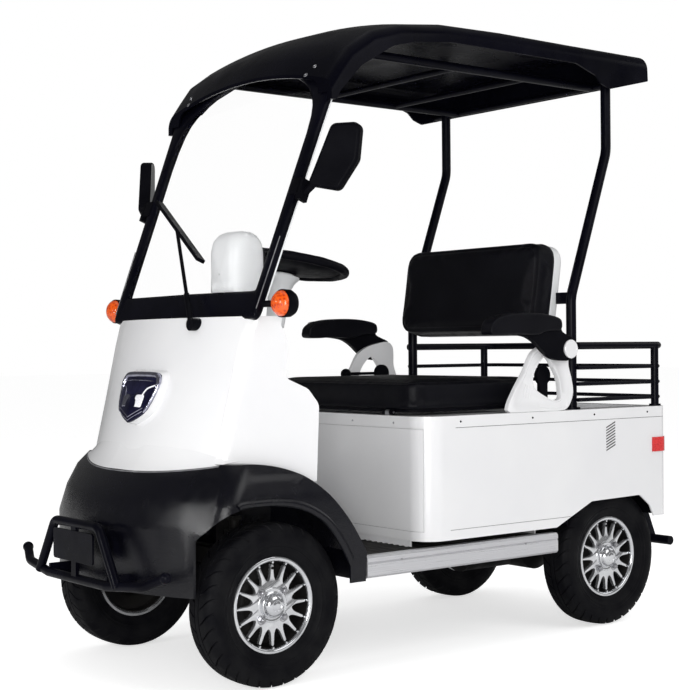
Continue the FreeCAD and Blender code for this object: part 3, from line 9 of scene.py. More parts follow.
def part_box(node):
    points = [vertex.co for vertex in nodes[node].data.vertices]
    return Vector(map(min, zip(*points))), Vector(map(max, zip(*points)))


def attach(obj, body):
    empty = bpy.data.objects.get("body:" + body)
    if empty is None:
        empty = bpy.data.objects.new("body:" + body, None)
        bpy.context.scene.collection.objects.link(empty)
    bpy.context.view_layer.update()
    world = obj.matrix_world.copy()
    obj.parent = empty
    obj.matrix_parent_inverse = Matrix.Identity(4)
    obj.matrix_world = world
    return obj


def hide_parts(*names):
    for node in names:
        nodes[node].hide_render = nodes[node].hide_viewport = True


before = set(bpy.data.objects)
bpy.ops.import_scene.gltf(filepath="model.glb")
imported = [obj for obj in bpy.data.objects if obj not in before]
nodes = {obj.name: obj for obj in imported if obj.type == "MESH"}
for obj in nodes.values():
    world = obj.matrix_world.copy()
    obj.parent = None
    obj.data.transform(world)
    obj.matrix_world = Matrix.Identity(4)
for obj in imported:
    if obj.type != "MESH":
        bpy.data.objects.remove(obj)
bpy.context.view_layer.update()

# Lengths are in metres, in the frame of the CAD model: +X the cart's left, +Y its rear, +Z up.
# Profiles for lathe and radii of bars are given in millimetres, and so are the outlines that are scaled by mm.
mm = 0.001
full_turn = 2 * math.pi
wheel_radius = 0.205
front_axle_y, rear_axle_y = -0.590, 0.660
front_wheel_x, rear_wheel_x = 0.334, 0.323
body_half = 0.400


# Node materials

class NodeTree:
    """A node tree with short calls to fill it."""

    def __init__(self, tree):
        self.tree = tree

    def link(self, output, target):
        self.tree.links.new(output, target)

    def node(self, kind, inputs, **settings):
        """A new node. Each input takes another node's output or a plain value."""
        made = self.tree.nodes.new(kind)
        for key, value in settings.items():
            setattr(made, key, value)
        for socket, value in inputs.items():
            if isinstance(value, bpy.types.NodeSocket):
                self.link(value, made.inputs[socket])
            else:
                made.inputs[socket].default_value = value
        return made

    def calculated(self, operation, *values, clamp=False):
        inputs = dict(enumerate(values))
        return self.node("ShaderNodeMath", inputs, operation=operation, use_clamp=clamp).outputs["Value"]


class Finish(NodeTree):
    """A Principled material. Its patterns are functions that draw their nodes in it."""

    def __init__(self, name, color, roughness, metallic=0.0, **sockets):
        self.material = bpy.data.materials.new(name)
        self.material.use_nodes = True
        super().__init__(self.material.node_tree)
        self.shader = self.tree.nodes["Principled BSDF"]
        sockets.update(Base_Color=(*color, 1.0), Roughness=roughness, Metallic=metallic)
        for socket, value in sockets.items():
            self.shader.inputs[socket.replace("_", " ")].default_value = value
        self.coordinates = self.tree.nodes.new("ShaderNodeTexCoord").outputs["Object"]
        self.last_bump = None
        self.values = {}

    def value(self, pattern):
        """A pattern's value. Its nodes are drawn once."""
        if pattern not in self.values:
            self.values[pattern] = pattern(self)
        return self.values[pattern]

    def between(self, pattern, low, high, start=0.3, end=0.7):
        """The pattern's values from start to end, spread from low to high."""
        inputs = {"Value": self.value(pattern), "From Min": start, "From Max": end, "To Min": low, "To Max": high}
        return self.node("ShaderNodeMapRange", inputs).outputs["Result"]

    def tone(self, pattern, color_a, color_b, start=0.3, end=0.7):
        """The base colour runs from one colour to the other."""
        inputs = {"Factor": self.between(pattern, 0.0, 1.0, start, end), "A": (*color_a, 1.0), "B": (*color_b, 1.0)}
        mix = self.node("ShaderNodeMix", inputs, data_type="RGBA")
        self.link(mix.outputs["Result"], self.shader.inputs["Base Color"])
        return self

    def uneven(self, pattern, low, high):
        self.link(self.between(pattern, low, high), self.shader.inputs["Roughness"])
        return self

    def relief(self, pattern, distance, strength):
        """A bump over the bumps there are."""
        inputs = {"Height": self.value(pattern), "Distance": distance, "Strength": strength}
        if self.last_bump is not None:
            inputs["Normal"] = self.last_bump
        self.last_bump = self.node("ShaderNodeBump", inputs).outputs["Normal"]
        self.link(self.last_bump, self.shader.inputs["Normal"])
        return self


def noise(scale, detail=3.0, stretch=None):
    def draw(finish):
        source = finish.coordinates
        if stretch:
            source = finish.node("ShaderNodeMapping", {"Vector": source, "Scale": stretch}).outputs["Vector"]
        inputs = {"Vector": source, "Scale": scale, "Detail": detail}
        return finish.node("ShaderNodeTexNoise", inputs).outputs["Fac"]

    return draw


def cells(scale):
    def draw(finish):
        inputs = {"Vector": finish.coordinates, "Scale": scale}
        return finish.node("ShaderNodeTexVoronoi", inputs).outputs["Distance"]

    return draw


streaks = noise(6.0, 4.0, (60.0, 1.0, 220.0))

finishes = {
    "white": Finish("white_gloss", (0.83, 0.83, 0.84), 0.22, Coat_Weight=0.5, Coat_Roughness=0.06)
    .tone(noise(3.0), (0.80, 0.80, 0.815), (0.85, 0.85, 0.855))
    .uneven(noise(14.0), 0.20, 0.25).relief(noise(420.0), 0.00005, 0.12),

    "canopy": Finish("black_gloss", (0.004, 0.004, 0.006), 0.2, IOR=1.14)
    .tone(noise(5.0), (0.0012, 0.0012, 0.0032), (0.0030, 0.0030, 0.0065))
    .uneven(noise(11.0), 0.20, 0.34).relief(noise(300.0), 0.0001, 0.5),

    "skirt": Finish("black_grained", (0.004, 0.004, 0.006), 0.3, IOR=1.45)
    .tone(noise(4.0), (0.0010, 0.0010, 0.0030), (0.0024, 0.0024, 0.0055))
    .uneven(noise(30.0), 0.20, 0.28).relief(noise(420, 6), 0.0010, 0.45).relief(cells(230.0), 0.0004, 0.4),

    "plastic": Finish("black_plastic", (0.006, 0.006, 0.008), 0.42, IOR=1.12)
    .tone(noise(8.0), (0.0016, 0.0016, 0.0030), (0.0045, 0.0045, 0.0065))
    .uneven(noise(40.0), 0.38, 0.52).relief(cells(700.0), 0.0002, 0.5),

    "paint": Finish("black_paint", (0.004, 0.004, 0.006), 0.28, IOR=1.18)
    .tone(noise(9.0), (0.0012, 0.0012, 0.0034), (0.0030, 0.0030, 0.0068))
    .uneven(noise(25.0), 0.25, 0.38).relief(noise(500.0), 0.0001, 0.5),

    "chassis": Finish("frame_paint", (0.008, 0.008, 0.009), 0.5, Specular_IOR_Level=0.10)
    .tone(noise(12, 5), (0.004, 0.004, 0.005), (0.016, 0.015, 0.014))
    .uneven(noise(20.0), 0.42, 0.62).relief(noise(260.0), 0.0003, 0.6),

    "chrome": Finish("chrome", (0.78, 0.79, 0.81), 0.1, 0.86)
    .tone(noise(22.0), (0.70, 0.71, 0.74), (0.84, 0.85, 0.87)).uneven(noise(60.0), 0.06, 0.16),

    "steel": Finish("steel", (0.42, 0.42, 0.44), 0.35, 1.0)
    .tone(noise(30.0), (0.34, 0.34, 0.36), (0.50, 0.50, 0.52))
    .uneven(noise(90.0), 0.28, 0.45).relief(noise(400.0), 0.0001, 0.4),

    "aluminium": Finish("aluminium", (0.72, 0.72, 0.74), 0.32, 0.7)
    .tone(streaks, (0.64, 0.64, 0.67), (0.78, 0.78, 0.80)).uneven(streaks, 0.26, 0.42).relief(streaks, 0.0001, 0.5),

    "glass": Finish("clear_glass", (1.0, 1.0, 1.0), 0.02, Transmission_Weight=1.0, IOR=1.08)
    .uneven(noise(2.0), 0.0, 0.02),

    "lamp": Finish("lamp_glass", (0.008, 0.009, 0.024), 0.08, Specular_IOR_Level=0.12)
    .tone(noise(16.0), (0.003, 0.003, 0.012), (0.014, 0.014, 0.040)),

    "amber": Finish("amber_lens", (0.80, 0.06, 0.003), 0.12, Coat_Weight=0.6)
    .tone(cells(110.0), (0.42, 0.014, 0.001), (0.88, 0.11, 0.003), 0.05, 0.55).relief(cells(260.0), 0.0008, 0.6),

    "red": Finish("red_lens", (0.55, 0.01, 0.015), 0.12, Coat_Weight=0.5)
    .tone(cells(240.0), (0.42, 0.004, 0.010), (0.75, 0.03, 0.03), 0.0, 0.6).relief(cells(240.0), 0.0006, 0.6),

    "leather": Finish("black_leather", (0.005, 0.005, 0.007), 0.4, IOR=1.22)
    .tone(noise(7, 5), (0.0014, 0.0014, 0.0032), (0.0040, 0.0040, 0.0065)).uneven(noise(35, 5), 0.34, 0.50)
    .relief(cells(520.0), 0.0005, 0.55).relief(noise(28, 4), 0.0012, 0.25),

    "thread": Finish("thread", (0.035, 0.035, 0.038), 0.7)
    .tone(noise(900.0), (0.02, 0.02, 0.022), (0.06, 0.06, 0.064)),

    "tyre": Finish("tyre_rubber", (0.006, 0.006, 0.008), 0.55, IOR=1.15)
    .tone(noise(18, 6), (0.003, 0.003, 0.0045), (0.009, 0.009, 0.010))
    .uneven(noise(50, 4), 0.46, 0.62).relief(noise(700.0), 0.0002, 0.5),

    "rubber": Finish("floor_rubber", (0.022, 0.022, 0.023), 0.75, Specular_IOR_Level=0.2)
    .tone(noise(10, 5), (0.014, 0.014, 0.015), (0.040, 0.038, 0.036)).relief(cells(420.0), 0.0003, 0.6),

    "shroud": Finish("pale_plastic", (0.74, 0.75, 0.76), 0.35)
    .tone(noise(6.0), (0.70, 0.71, 0.72), (0.79, 0.80, 0.81))
    .uneven(noise(30.0), 0.30, 0.42).relief(cells(800.0), 0.0001, 0.5),

    "battery": Finish("battery_case", (0.10, 0.10, 0.11), 0.55)
    .tone(noise(9.0), (0.07, 0.07, 0.08), (0.13, 0.13, 0.14)).relief(cells(600.0), 0.0002, 0.5),

    "mirror": Finish("mirror_glass", (0.86, 0.87, 0.88), 0.02, 1.0).uneven(noise(3.0), 0.0, 0.03),

    # also colours the lamp's light at the cart's right, as painted shade
    "trim": Finish("lamp_chrome_and_shaded_light", (0.44, 0.44, 0.54), 0.16, 1.0)
    .tone(noise(60.0), (0.34, 0.34, 0.43), (0.58, 0.58, 0.70)).uneven(noise(90.0), 0.12, 0.24),

    # dark for joints, and for the painted shadow line under the step low on the body's sides
    "seam": Finish("seam_and_step_shadow_dark", (0.06, 0.06, 0.065), 0.7)
    .tone(noise(40.0), (0.03, 0.03, 0.032), (0.11, 0.11, 0.115)),

    # grey for thin edges: a painted highlight on the rubber edge under the cowl, and a painted glint along the
    # screen posts' front edge
    "highlight_bead": Finish("edge_bead_painted_highlight", (0.16, 0.16, 0.17), 0.4).tone(noise(30.0), (0.10, 0.10, 0.11), (0.24, 0.24, 0.25)),

    "stripe": Finish("stripe_black", (0.02, 0.02, 0.02), 0.4).uneven(noise(50.0), 0.34, 0.48),

    "pearl": Finish("lamp_white", (0.9, 0.9, 0.93), 0.15, Coat_Weight=0.6)
    .tone(cells(300.0), (0.72, 0.73, 0.80), (0.97, 0.97, 1.0), 0.0, 0.6),
}
looks = {look: finish.material for look, finish in finishes.items()}


# Forms are pairs of points and faces

def place(form, matrix):
    points, faces = form
    return [matrix @ Vector(p) for p in points], faces


def on_side(form, x, outward=1):
    """A slab with its depth turned along X, from a place x."""
    return [(x + outward * p[1], p[0], p[2]) for p in form[0]], form[1]


def merged(forms):
    points, faces = [], []
    for more_points, more_faces in forms:
        start = len(points)
        points += list(more_points)
        faces += [tuple(start + i for i in face) for face in more_faces]
    return points, faces


def mirrored(form):
    points, faces = form
    return [(-p[0], p[1], p[2]) for p in points], [tuple(reversed(face)) for face in faces]


def both_sides(*forms):
    form = merged(forms)
    return merged([form, mirrored(form)])


def net(rows, close_rows=False, close_across=False):
    """Faces over rows of points."""
    width = len(rows[0])
    points = [p for row in rows for p in row]
    faces = []
    for i in range(len(rows) if close_rows else len(rows) - 1):
        below = (i + 1) % len(rows) * width
        for j in range(width if close_across else width - 1):
            faces.append((i * width + j, i * width + (j + 1) % width, below + (j + 1) % width, below + j))
    return points, faces


def circle(radius, count):
    """Points round the origin, as pairs."""
    angles = [full_turn * k / count for k in range(count)]
    return [(radius * math.cos(angle), radius * math.sin(angle)) for angle in angles]


def lathe(profile, steps=48, axis="X", close=False):
    """A profile of (along, radius) in mm, turned about an axis through the origin."""
    rows = []
    for c, s in circle(mm, steps):
        rows.append({
            "X": [(a * mm, r * c, r * s) for a, r in profile],
            "Y": [(r * s, a * mm, r * c) for a, r in profile],
            "Z": [(r * c, r * s, a * mm) for a, r in profile],
        }[axis])
    return net(rows, close_rows=True, close_across=close)


def sweep(path, radius, sides=10, closed=False):
    """A round bar along a smooth line of points. Its radius in mm is one number, or one for each point."""
    path = [Vector(p) for p in path]
    count = len(path)
    radii = radius if isinstance(radius, list) else [radius] * count
    rows = []
    normal = None
    for i, point in enumerate(path):
        before = path[i - 1] if closed or i > 0 else point
        after = path[(i + 1) % count] if closed or i < count - 1 else point
        direction = (after - before).normalized()
        if normal is None:
            normal = direction.orthogonal().normalized()
        normal = (normal - direction * normal.dot(direction)).normalized()
        across = direction.cross(normal)
        rows.append([point + normal * c + across * s for c, s in circle(radii[i] * mm, sides)])
    points, faces = net(rows, close_rows=closed, close_across=True)
    if not closed:
        faces += [tuple(reversed(range(sides))), tuple(range((count - 1) * sides, count * sides))]
    return points, faces


def slab(outline, depth, bevel=0.0, steps=2):
    """A flat outline in the plane of x and z, pushed along +Y, with rounded edges."""
    mesh = bmesh.new()
    face = mesh.faces.new([mesh.verts.new((x, 0.0, z)) for x, z in outline])
    pushed = bmesh.ops.extrude_face_region(mesh, geom=[face])
    moved = [v for v in pushed["geom"] if isinstance(v, bmesh.types.BMVert)]
    bmesh.ops.translate(mesh, vec=(0.0, depth, 0.0), verts=moved)
    bmesh.ops.recalc_face_normals(mesh, faces=mesh.faces)
    if bevel:
        sharp = [e for e in mesh.edges if e.calc_face_angle(0.0) > math.radians(40)]
        bmesh.ops.bevel(
            mesh, geom=sharp, offset=bevel, segments=steps, profile=0.6, affect="EDGES", clamp_overlap=True)
    mesh.verts.index_update()
    form = [tuple(v.co) for v in mesh.verts], [tuple(v.index for v in f.verts) for f in mesh.faces]
    mesh.free()
    return form


def block(low, high, bevel=0.0, steps=2):
    (x0, y0, z0), (x1, y1, z1) = low, high
    form = slab([(x0, z0), (x1, z0), (x1, z1), (x0, z1)], y1 - y0, bevel, steps)
    return place(form, Matrix.Translation((0.0, y0, 0.0)))


def rounded_outline(points, steps=6):
    """Corners of (x, z, radius) turned into a line with arcs."""
    line = []
    for i, (x, z, radius) in enumerate(points):
        corner = Vector((x, z))
        before = Vector(points[i - 1][:2]) - corner
        after = Vector(points[(i + 1) % len(points)][:2]) - corner
        half = before.angle(after) / 2
        reach = min(radius / math.tan(half), 0.48 * min(before.length, after.length))
        start = corner + before.normalized() * reach
        end = corner + after.normalized() * reach
        for k in range(steps + 1):
            t = k / steps
            point = start * (1 - t) ** 2 + corner * (2 * t * (1 - t)) + end * t ** 2
            line.append((point.x, point.y))
    return line


def rounded_box(low, high, radius, steps=8, top_radius=None):
    """The line of a rectangle from one (x, z) to another, with round corners."""
    (x0, z0), (x1, z1) = low, high
    top = top_radius or radius
    return rounded_outline([(x0, z0, radius), (x1, z0, radius), (x1, z1, top), (x0, z1, top)], steps)


def spline(points, per_span=8, closed=False):
    """A Catmull-Rom line through points of two or three coordinates."""
    count = len(points)
    line = []
    for i in range(count if closed else count - 1):
        span = [points[k % count if closed else min(max(k, 0), count - 1)] for k in range(i - 1, i + 3)]
        for step in range(per_span):
            t = step / per_span
            line.append(tuple(
                0.5 * (2 * b + (c - a) * t + (2 * a - 5 * b + 4 * c - d) * t * t + (3 * b - a - 3 * c + d) * t ** 3)
                for a, b, c, d in zip(*span)))
    return line if closed else line + [tuple(points[-1])]


def smooth(mesh):
    mesh.polygons.foreach_set("use_smooth", [True] * len(mesh.polygons))


def add_object(name, form):
    mesh = bpy.data.meshes.new(name)
    mesh.from_pydata([tuple(p) for p in form[0]], [], form[1])
    made = bpy.data.objects.new(name, mesh)
    bpy.context.scene.collection.objects.link(made)
    return made


def piece(name, form, look, body="chassis", angle=38, hides=None):
    """A mesh object of one form that rides on a body, and may stand for a CAD node."""
    made = add_object(name, form)
    mesh = made.data
    mesh.update()
    cleaned = bmesh.new()
    cleaned.from_mesh(mesh)
    bmesh.ops.recalc_face_normals(cleaned, faces=cleaned.faces)
    cleaned.to_mesh(mesh)
    cleaned.free()
    smooth(mesh)
    mesh.set_sharp_from_angle(angle=math.radians(angle))
    mesh.materials.append(looks[look])
    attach(made, body)
    if hides:
        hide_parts(hides)
    return made


# CAD nodes, most of which keep their shape

nodes_by_look = {
    "chassis": "frame front_axle rear_axle knuckle_left knuckle_right",
    "steel": "tie_rod seat_hinges",
    "rubber": "floor_pan",
    "aluminium": "side_sills",
    "white": "front_cowl rear_body front_panel armrest_brackets",
    "skirt": "front_skirt",
    "lamp": "head_lamp",
    "paint": "front_bumper rear_bumper screen_frame canopy_frame load_rails",
    "glass": "windscreen",
    "canopy": "canopy",
    "battery": "battery_pack",
    "red": "tail_lamps",
    "shroud": "backrest_shell steering_column dash_pod",
}
node_looks = {name: look for look, names in nodes_by_look.items() for name in names.split()}


def dress_nodes():
    for name, node in nodes.items():
        mesh = node.data
        mesh.materials.clear()
        mesh.materials.append(looks[node_looks.get(name, "plastic")])
        smooth(mesh)
        mesh.polygons.foreach_set("material_index", [0] * len(mesh.polygons))
        node.modifiers.new("weld", "WELD").merge_threshold = 0.00001
        node.modifiers.new("split", "EDGE_SPLIT").split_angle = math.radians(30)
        node.modifiers.new("even", "WEIGHTED_NORMAL").keep_sharp = True


# Wheels, drawn round the origin with the outside at +X

spoke_count = 16
pitch_count = 34
groove_depth = 5.2 * mm
# the side grooves lean back by this share of a pitch, up to lean_end, and fade out over the shoulder
groove_lean, lean_end = 0.95, 46 * mm
shoulder_end, shoulder_width = 52 * mm, 8 * mm
nut_radius, nut_circle = 8.6 * mm, 47 * mm


def tyre_form():
    """A tyre with swept side grooves, two running grooves and ribs on its wall."""
    # x, radius, and what is cut here: 0 nothing, 1 the side grooves, 2 a running groove
    tread = [
        (0, 205, 0), (6.4, 204.9, 0), (6.6, 204.8, 2), (9.4, 204.7, 2), (9.6, 204.7, 0), (14, 204.6, 1),
        (19, 204.4, 1), (25, 204.1, 1), (31, 203.6, 1), (36, 202.6, 1), (40, 200, 1),
        (43, 195.8, 1), (46, 190, 1), (48.5, 184.2, 0)]
    wall = [
        (50.2, 179.5), (50.9, 174.5), (51, 168), (50.6, 162.5), (48.9, 157), (49.3, 156), (47.2, 151),
        (45.4, 147.4), (46, 145.8), (43.6, 142.4), (41, 137.6), (38.5, 132.6), (38.4, 130.4), (36, 127),
        (34, 123), (33.2, 118), (33.2, 113)]
    half = [(x * mm, r * mm, cut) for x, r, cut in tread + [(x, r, 0) for x, r in wall]]
    across = [(-x, r, cut, -1) for x, r, cut in reversed(half[1:])] + [(x, r, cut, 1) for x, r, cut in half]
    # along a pitch: its share, and whether the groove is low there. The right side's grooves lie half a pitch on
    groove = [(0.0, 0), (0.03, 1), (0.13, 1), (0.16, 0), (0.25, 0), (0.38, 0)]
    columns = [(u, low, -1) for u, low in groove] + [(u + 0.5, low, 1) for u, low in groove]
    rows = []
    for pitch in range(pitch_count):
        for share, low, side in columns:
            row = []
            for x, r, cut, here in across:
                lean = groove_lean * min(abs(x) / lean_end, 1.0) ** 1.4
                fade = min(1.0, (shoulder_end - abs(x)) / shoulder_width)
                sunk = cut == 2 or (cut == 1 and low and side == here)
                angle = full_turn * (pitch + share + lean) / pitch_count
                radius = r - (groove_depth * fade if sunk else 0.0)
                row.append((x, radius * math.sin(angle), radius * math.cos(angle)))
            rows.append(row)
    return net(rows, close_rows=True)


def rim_star():
    """The cast face: a hub disc that runs out into tapering spokes."""
    half_step = math.pi / spoke_count
    side = [(61.6, half_step * 0.86), (63.4, half_step * 0.70)]
    half_widths = ((66.4, 7.2), (70.5, 5.7), (78, 4.7), (90, 4), (99, 3.6), (101.8, 2.4))
    side += [(r, half_width / r) for r, half_width in half_widths]
    outline = []
    for i in range(spoke_count):
        middle = 2 * half_step * i
        outline.append((61.0, middle - half_step))
        outline += [(r, middle - a) for r, a in side] + [(r, middle + a) for r, a in reversed(side)]
    flat = [(r * mm * math.sin(a), r * mm * math.cos(a)) for r, a in outline]
    return on_side(slab(flat, 11 * mm, 1.3 * mm), 30.5 * mm, -1)


def rim_bright():
    ring = [
        (30, 108.6), (33.6, 109.2), (36.4, 111), (37.8, 113.6), (37.9, 117.2), (37, 119.6), (35, 120.4),
        (33.4, 120.2), (33.4, 113), (-33.4, 113), (-33.4, 120.2), (-37, 119.6), (-37.9, 113.6),
        (-33.6, 109.2), (-20, 108.6)]
    hub = [
        (24, 46), (30.6, 44), (31.8, 42.6), (32.2, 39.5), (30.9, 37), (31, 34.6), (34.6, 33.2),
        (35.4, 31.2), (36.6, 30), (41.5, 28.6), (46, 25.6), (49.4, 20.8), (50.9, 15.6), (51.2, 14),
        (50.6, 13.2), (50.7, 11), (51.5, 9.8), (51.9, 5), (52, 0.001)]
    stub = block((-2.6 * mm, 26 * mm, 103.8 * mm), (2.6 * mm, 34 * mm, 110.5 * mm), 1.0 * mm)
    stubs = [
        place(on_side(stub, 0.0), Matrix.Rotation(full_turn * i / spoke_count, 4, "X")) for i in range(spoke_count)]
    return merged([lathe(ring, 96), rim_star()] + stubs + [lathe(hub, 64)])


def lug_nuts():
    nut = on_side(slab(circle(nut_radius, 6), 9.5 * mm, 0.9 * mm), 30 * mm)
    stud = lathe([(38, 5.4), (42.2, 5.4), (43, 4.4), (43, 0.01)], 20)
    well = lathe([(30.3, 12.6), (31.4, 12.2), (31.4, 11), (30.2, 10.4)], 28)
    nut = merged([nut, stud, well])
    offset = nut_circle * math.sin(math.radians(45))
    corners = ((1, 1), (1, -1), (-1, -1), (-1, 1))
    return merged([place(nut, Matrix.Translation((0.0, y * offset, z * offset))) for y, z in corners])


def rim_dark():
    barrel = [(30, 108.4), (24, 105.6), (-20, 103), (-33, 106), (-33, 108.6)]
    drum = [(18, 0.01), (18, 58), (14, 61), (-2, 64), (-8, 70), (-14, 104)]
    valve = sweep([(22 * mm, 0.0, 96 * mm), (34 * mm, 0.0, 91 * mm)], 3.2, 12)
    return merged([lathe(barrel, 96), lathe(drum, 48), valve])


def wheels():
    forms = (
        ("tread", tyre_form(), "tyre", "tyre", "tyre_"), ("face", rim_bright(), "chrome", "bright_rim", "rim_"),
        ("nuts", lug_nuts(), "steel", "bright_rim", None), ("barrel", rim_dark(), "chassis", "black_steel", None))
    for end, x, y in (("front", front_wheel_x, front_axle_y), ("rear", rear_wheel_x, rear_axle_y)):
        for word, sign in (("left", 1), ("right", -1)):
            turn = Matrix.Identity(4) if sign > 0 else Matrix.Rotation(math.pi, 4, "Z")
            spot = Matrix.Translation((sign * x, y, wheel_radius)) @ turn
            wheel = end + "_" + word
            for what, form, look, slot, node in forms:
                hides = node + wheel if node else None
                piece("wheel_" + what + "_" + wheel, place(form, spot), look, "wheel_" + wheel, hides=hides)


# Spring struts under the body

def strut_forms(x, y, foot_z):
    """A coil spring and a damper with its cap, from the axle at foot_z to the frame."""
    top_z, seat_height, coil_radius, wire_radius = 0.402, 0.030, 21.5 * mm, 4.4
    low, high = foot_z + seat_height, top_z - seat_height
    turns, per_turn = 7, 18
    around = circle(coil_radius, per_turn) * turns
    around.append(around[0])
    rise = (high - low) / (turns * per_turn)
    coil = [(x + dx, y + dy, low + rise * i) for i, (dx, dy) in enumerate(around)]
    shaft = [(0, 13), (22, 13), (24, 26), (30, 26), (31, 15)]
    foot, top, rod_top = foot_z / mm, top_z / mm, high / mm
    damper = [(foot + a, r) for a, r in shaft] + [(rod_top - 30.0, 15.0), (rod_top - 30.0, 9.0), (rod_top, 9.0)]
    cap = [(top - a, r) for a, r in shaft]
    move = Matrix.Translation((x, y, 0.0))
    return sweep(coil, wire_radius, 8), merged([place(lathe(profile, 28, "Z"), move) for profile in (damper, cap)])


def struts():
    springs, dampers = [], []
    for x, y, foot in ((0.197, front_axle_y, 0.2343), (0.205, rear_axle_y, 0.2393)):
        spring, damper = strut_forms(x, y, foot)
        springs.append(both_sides(spring))
        dampers.append(both_sides(damper))
    piece("strut_springs", merged(springs), "chassis")
    piece("strut_dampers", merged(dampers), "chassis", hides="spring_struts")


# Seat cushions: a slab is blown up like cloth, then sewn

cloth_frames = 20
cloth_pressure = 3.0
seam_width = 7 * mm
seam_depth = 2.2 * mm
stitch_length = 5 * mm
thread_radius = 0.55
back_lean = math.radians(9)


def blown(name, form, voxel, cap, held):
    """The form remeshed and swelled by a cloth run. cap is the furthest a point may move, held says which stay."""
    made = add_object(name, form)
    bpy.context.view_layer.objects.active = made
    remesh = made.modifiers.new("remesh", "REMESH")
    remesh.mode = "VOXEL"
    remesh.voxel_size = voxel
    bpy.ops.object.modifier_apply(modifier="remesh")
    start = [v.co.copy() for v in made.data.vertices]
    group = made.vertex_groups.new(name="held")
    group.add([i for i, p in enumerate(start) if held(p)], 1.0, "REPLACE")
    cloth = made.modifiers.new("cloth", "CLOTH")
    cloth.settings.quality = 5
    cloth.settings.mass = 0.3
    cloth.settings.use_pressure = True
    cloth.settings.uniform_pressure_force = cloth_pressure
    cloth.settings.vertex_group_mass = "held"
    cloth.settings.effector_weights.gravity = 0.0
    cloth.point_cache.frame_start = 1
    cloth.point_cache.frame_end = cloth_frames
    for number in range(1, cloth_frames + 1):
        bpy.context.scene.frame_set(number)
    bpy.ops.object.modifier_apply(modifier="cloth")
    bpy.context.scene.frame_set(1)
    for vertex, rest in zip(made.data.vertices, start):
        moved = vertex.co - rest
        if moved.length > cap:
            vertex.co = rest + moved * (cap / moved.length)
    finer = made.modifiers.new("finer", "SUBSURF")
    finer.levels = finer.render_levels = 1
    bpy.ops.object.modifier_apply(modifier="finer")
    return made


def sewn(made, distance):
    """Points near a seam sink in. distance gives how far a point is from the seam."""
    mesh = made.data
    normals = [v.normal.copy() for v in mesh.vertices]
    for vertex, normal in zip(mesh.vertices, normals):
        away = distance(vertex.co)
        if away < seam_width:
            vertex.co -= normal * seam_depth * (0.5 + 0.5 * math.cos(math.pi * away / seam_width))
    mesh.update()


def rounded_box_distance(x, z, half_x, half_z, radius):
    """Distance from the line of a rounded rectangle round the origin."""
    dx = abs(x) - (half_x - radius)
    dz = abs(z) - (half_z - radius)
    outside = math.hypot(max(dx, 0.0), max(dz, 0.0)) + min(max(dx, dz), 0.0)
    return abs(outside - radius)


def rounded_box_line(half_x, half_z, radius, count):
    """Evenly spaced points on that line."""
    outline = rounded_box((-half_x, -half_z), (half_x, half_z), radius, 12)
    spans = [math.dist(a, b) for a, b in zip(outline, outline[1:] + outline[:1])]
    total = sum(spans)
    line, i, passed = [], 0, 0.0
    for k in range(count):
        goal = total * k / count
        while passed + spans[i] < goal:
            passed += spans[i]
            i += 1
        t = (goal - passed) / spans[i]
        a, b = outline[i], outline[(i + 1) % len(outline)]
        line.append((a[0] + (b[0] - a[0]) * t, a[1] + (b[1] - a[1]) * t))
    return line


def finish_soft(made, body, node, matrix):
    """The blown form gets its leather and its place, and stands for a node."""
    mesh = made.data
    smooth(mesh)
    mesh.materials.clear()
    mesh.materials.append(looks["leather"])
    mesh.transform(matrix)
    mesh.update()
    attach(made, body)
    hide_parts(node)


def surface_of(made):
    return BVHTree.FromObject(made, bpy.context.evaluated_depsgraph_get())


def stitches(name, tree, line, direction, start_at, body):
    """Short raised threads along a closed line, laid on a surface."""
    forms = []
    for i in range(0, len(line), 2):
        ends = line[i], line[(i + 1) % len(line)]
        a, b = [tree.ray_cast(start_at(p), direction, 1.0)[0] for p in ends]
        if a is None or b is None:
            continue
        middle = (a + b) / 2
        along = (b - a).normalized() * (stitch_length / 2)
        lift = -direction * thread_radius * mm * 0.6
        radii = [thread_radius * 0.4, thread_radius, thread_radius * 0.4]
        forms.append(sweep([middle - along, middle + lift, middle + along], radii, 6))
    piece(name, merged(forms), "thread", body)


def seat_cushion():
    low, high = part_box("seat_cushion")
    centre_y = (low.y + high.y) / 2
    half_x, half_y = high.x - 4 * mm, (high.y - low.y) / 2 - 4 * mm
    foot_z = low.z - 6 * mm
    thick = high.z - foot_z - 5 * mm
    corner, inset = 68 * mm, 16 * mm
    form = slab(rounded_box((-half_x, -half_y), (half_x, half_y), corner), thick, 12 * mm, 3)
    # the slab lies in x and z with its depth along y: stand its depth up
    form = [(p[0], p[2], p[1]) for p in form[0]], [tuple(reversed(f)) for f in form[1]]
    made = blown("seat_cushion_soft", form, 9 * mm, 8 * mm, lambda p: p.z < 8 * mm)
    edge = half_x - inset, half_y - inset, corner - inset
    sewn(made, lambda p: rounded_box_distance(p.x, p.y, *edge) if p.z > thick * 0.7 else 1.0)
    finish_soft(made, "seat", "seat_cushion", Matrix.Translation((0.0, centre_y, foot_z)))
    line = rounded_box_line(*(measure - 5 * mm for measure in edge), 420)
    stitches(
        "seat_stitches", surface_of(made), line, Vector((0, 0, -1)),
        lambda p: Vector((p[0], p[1] + centre_y, high.z + 0.1)), "seat")


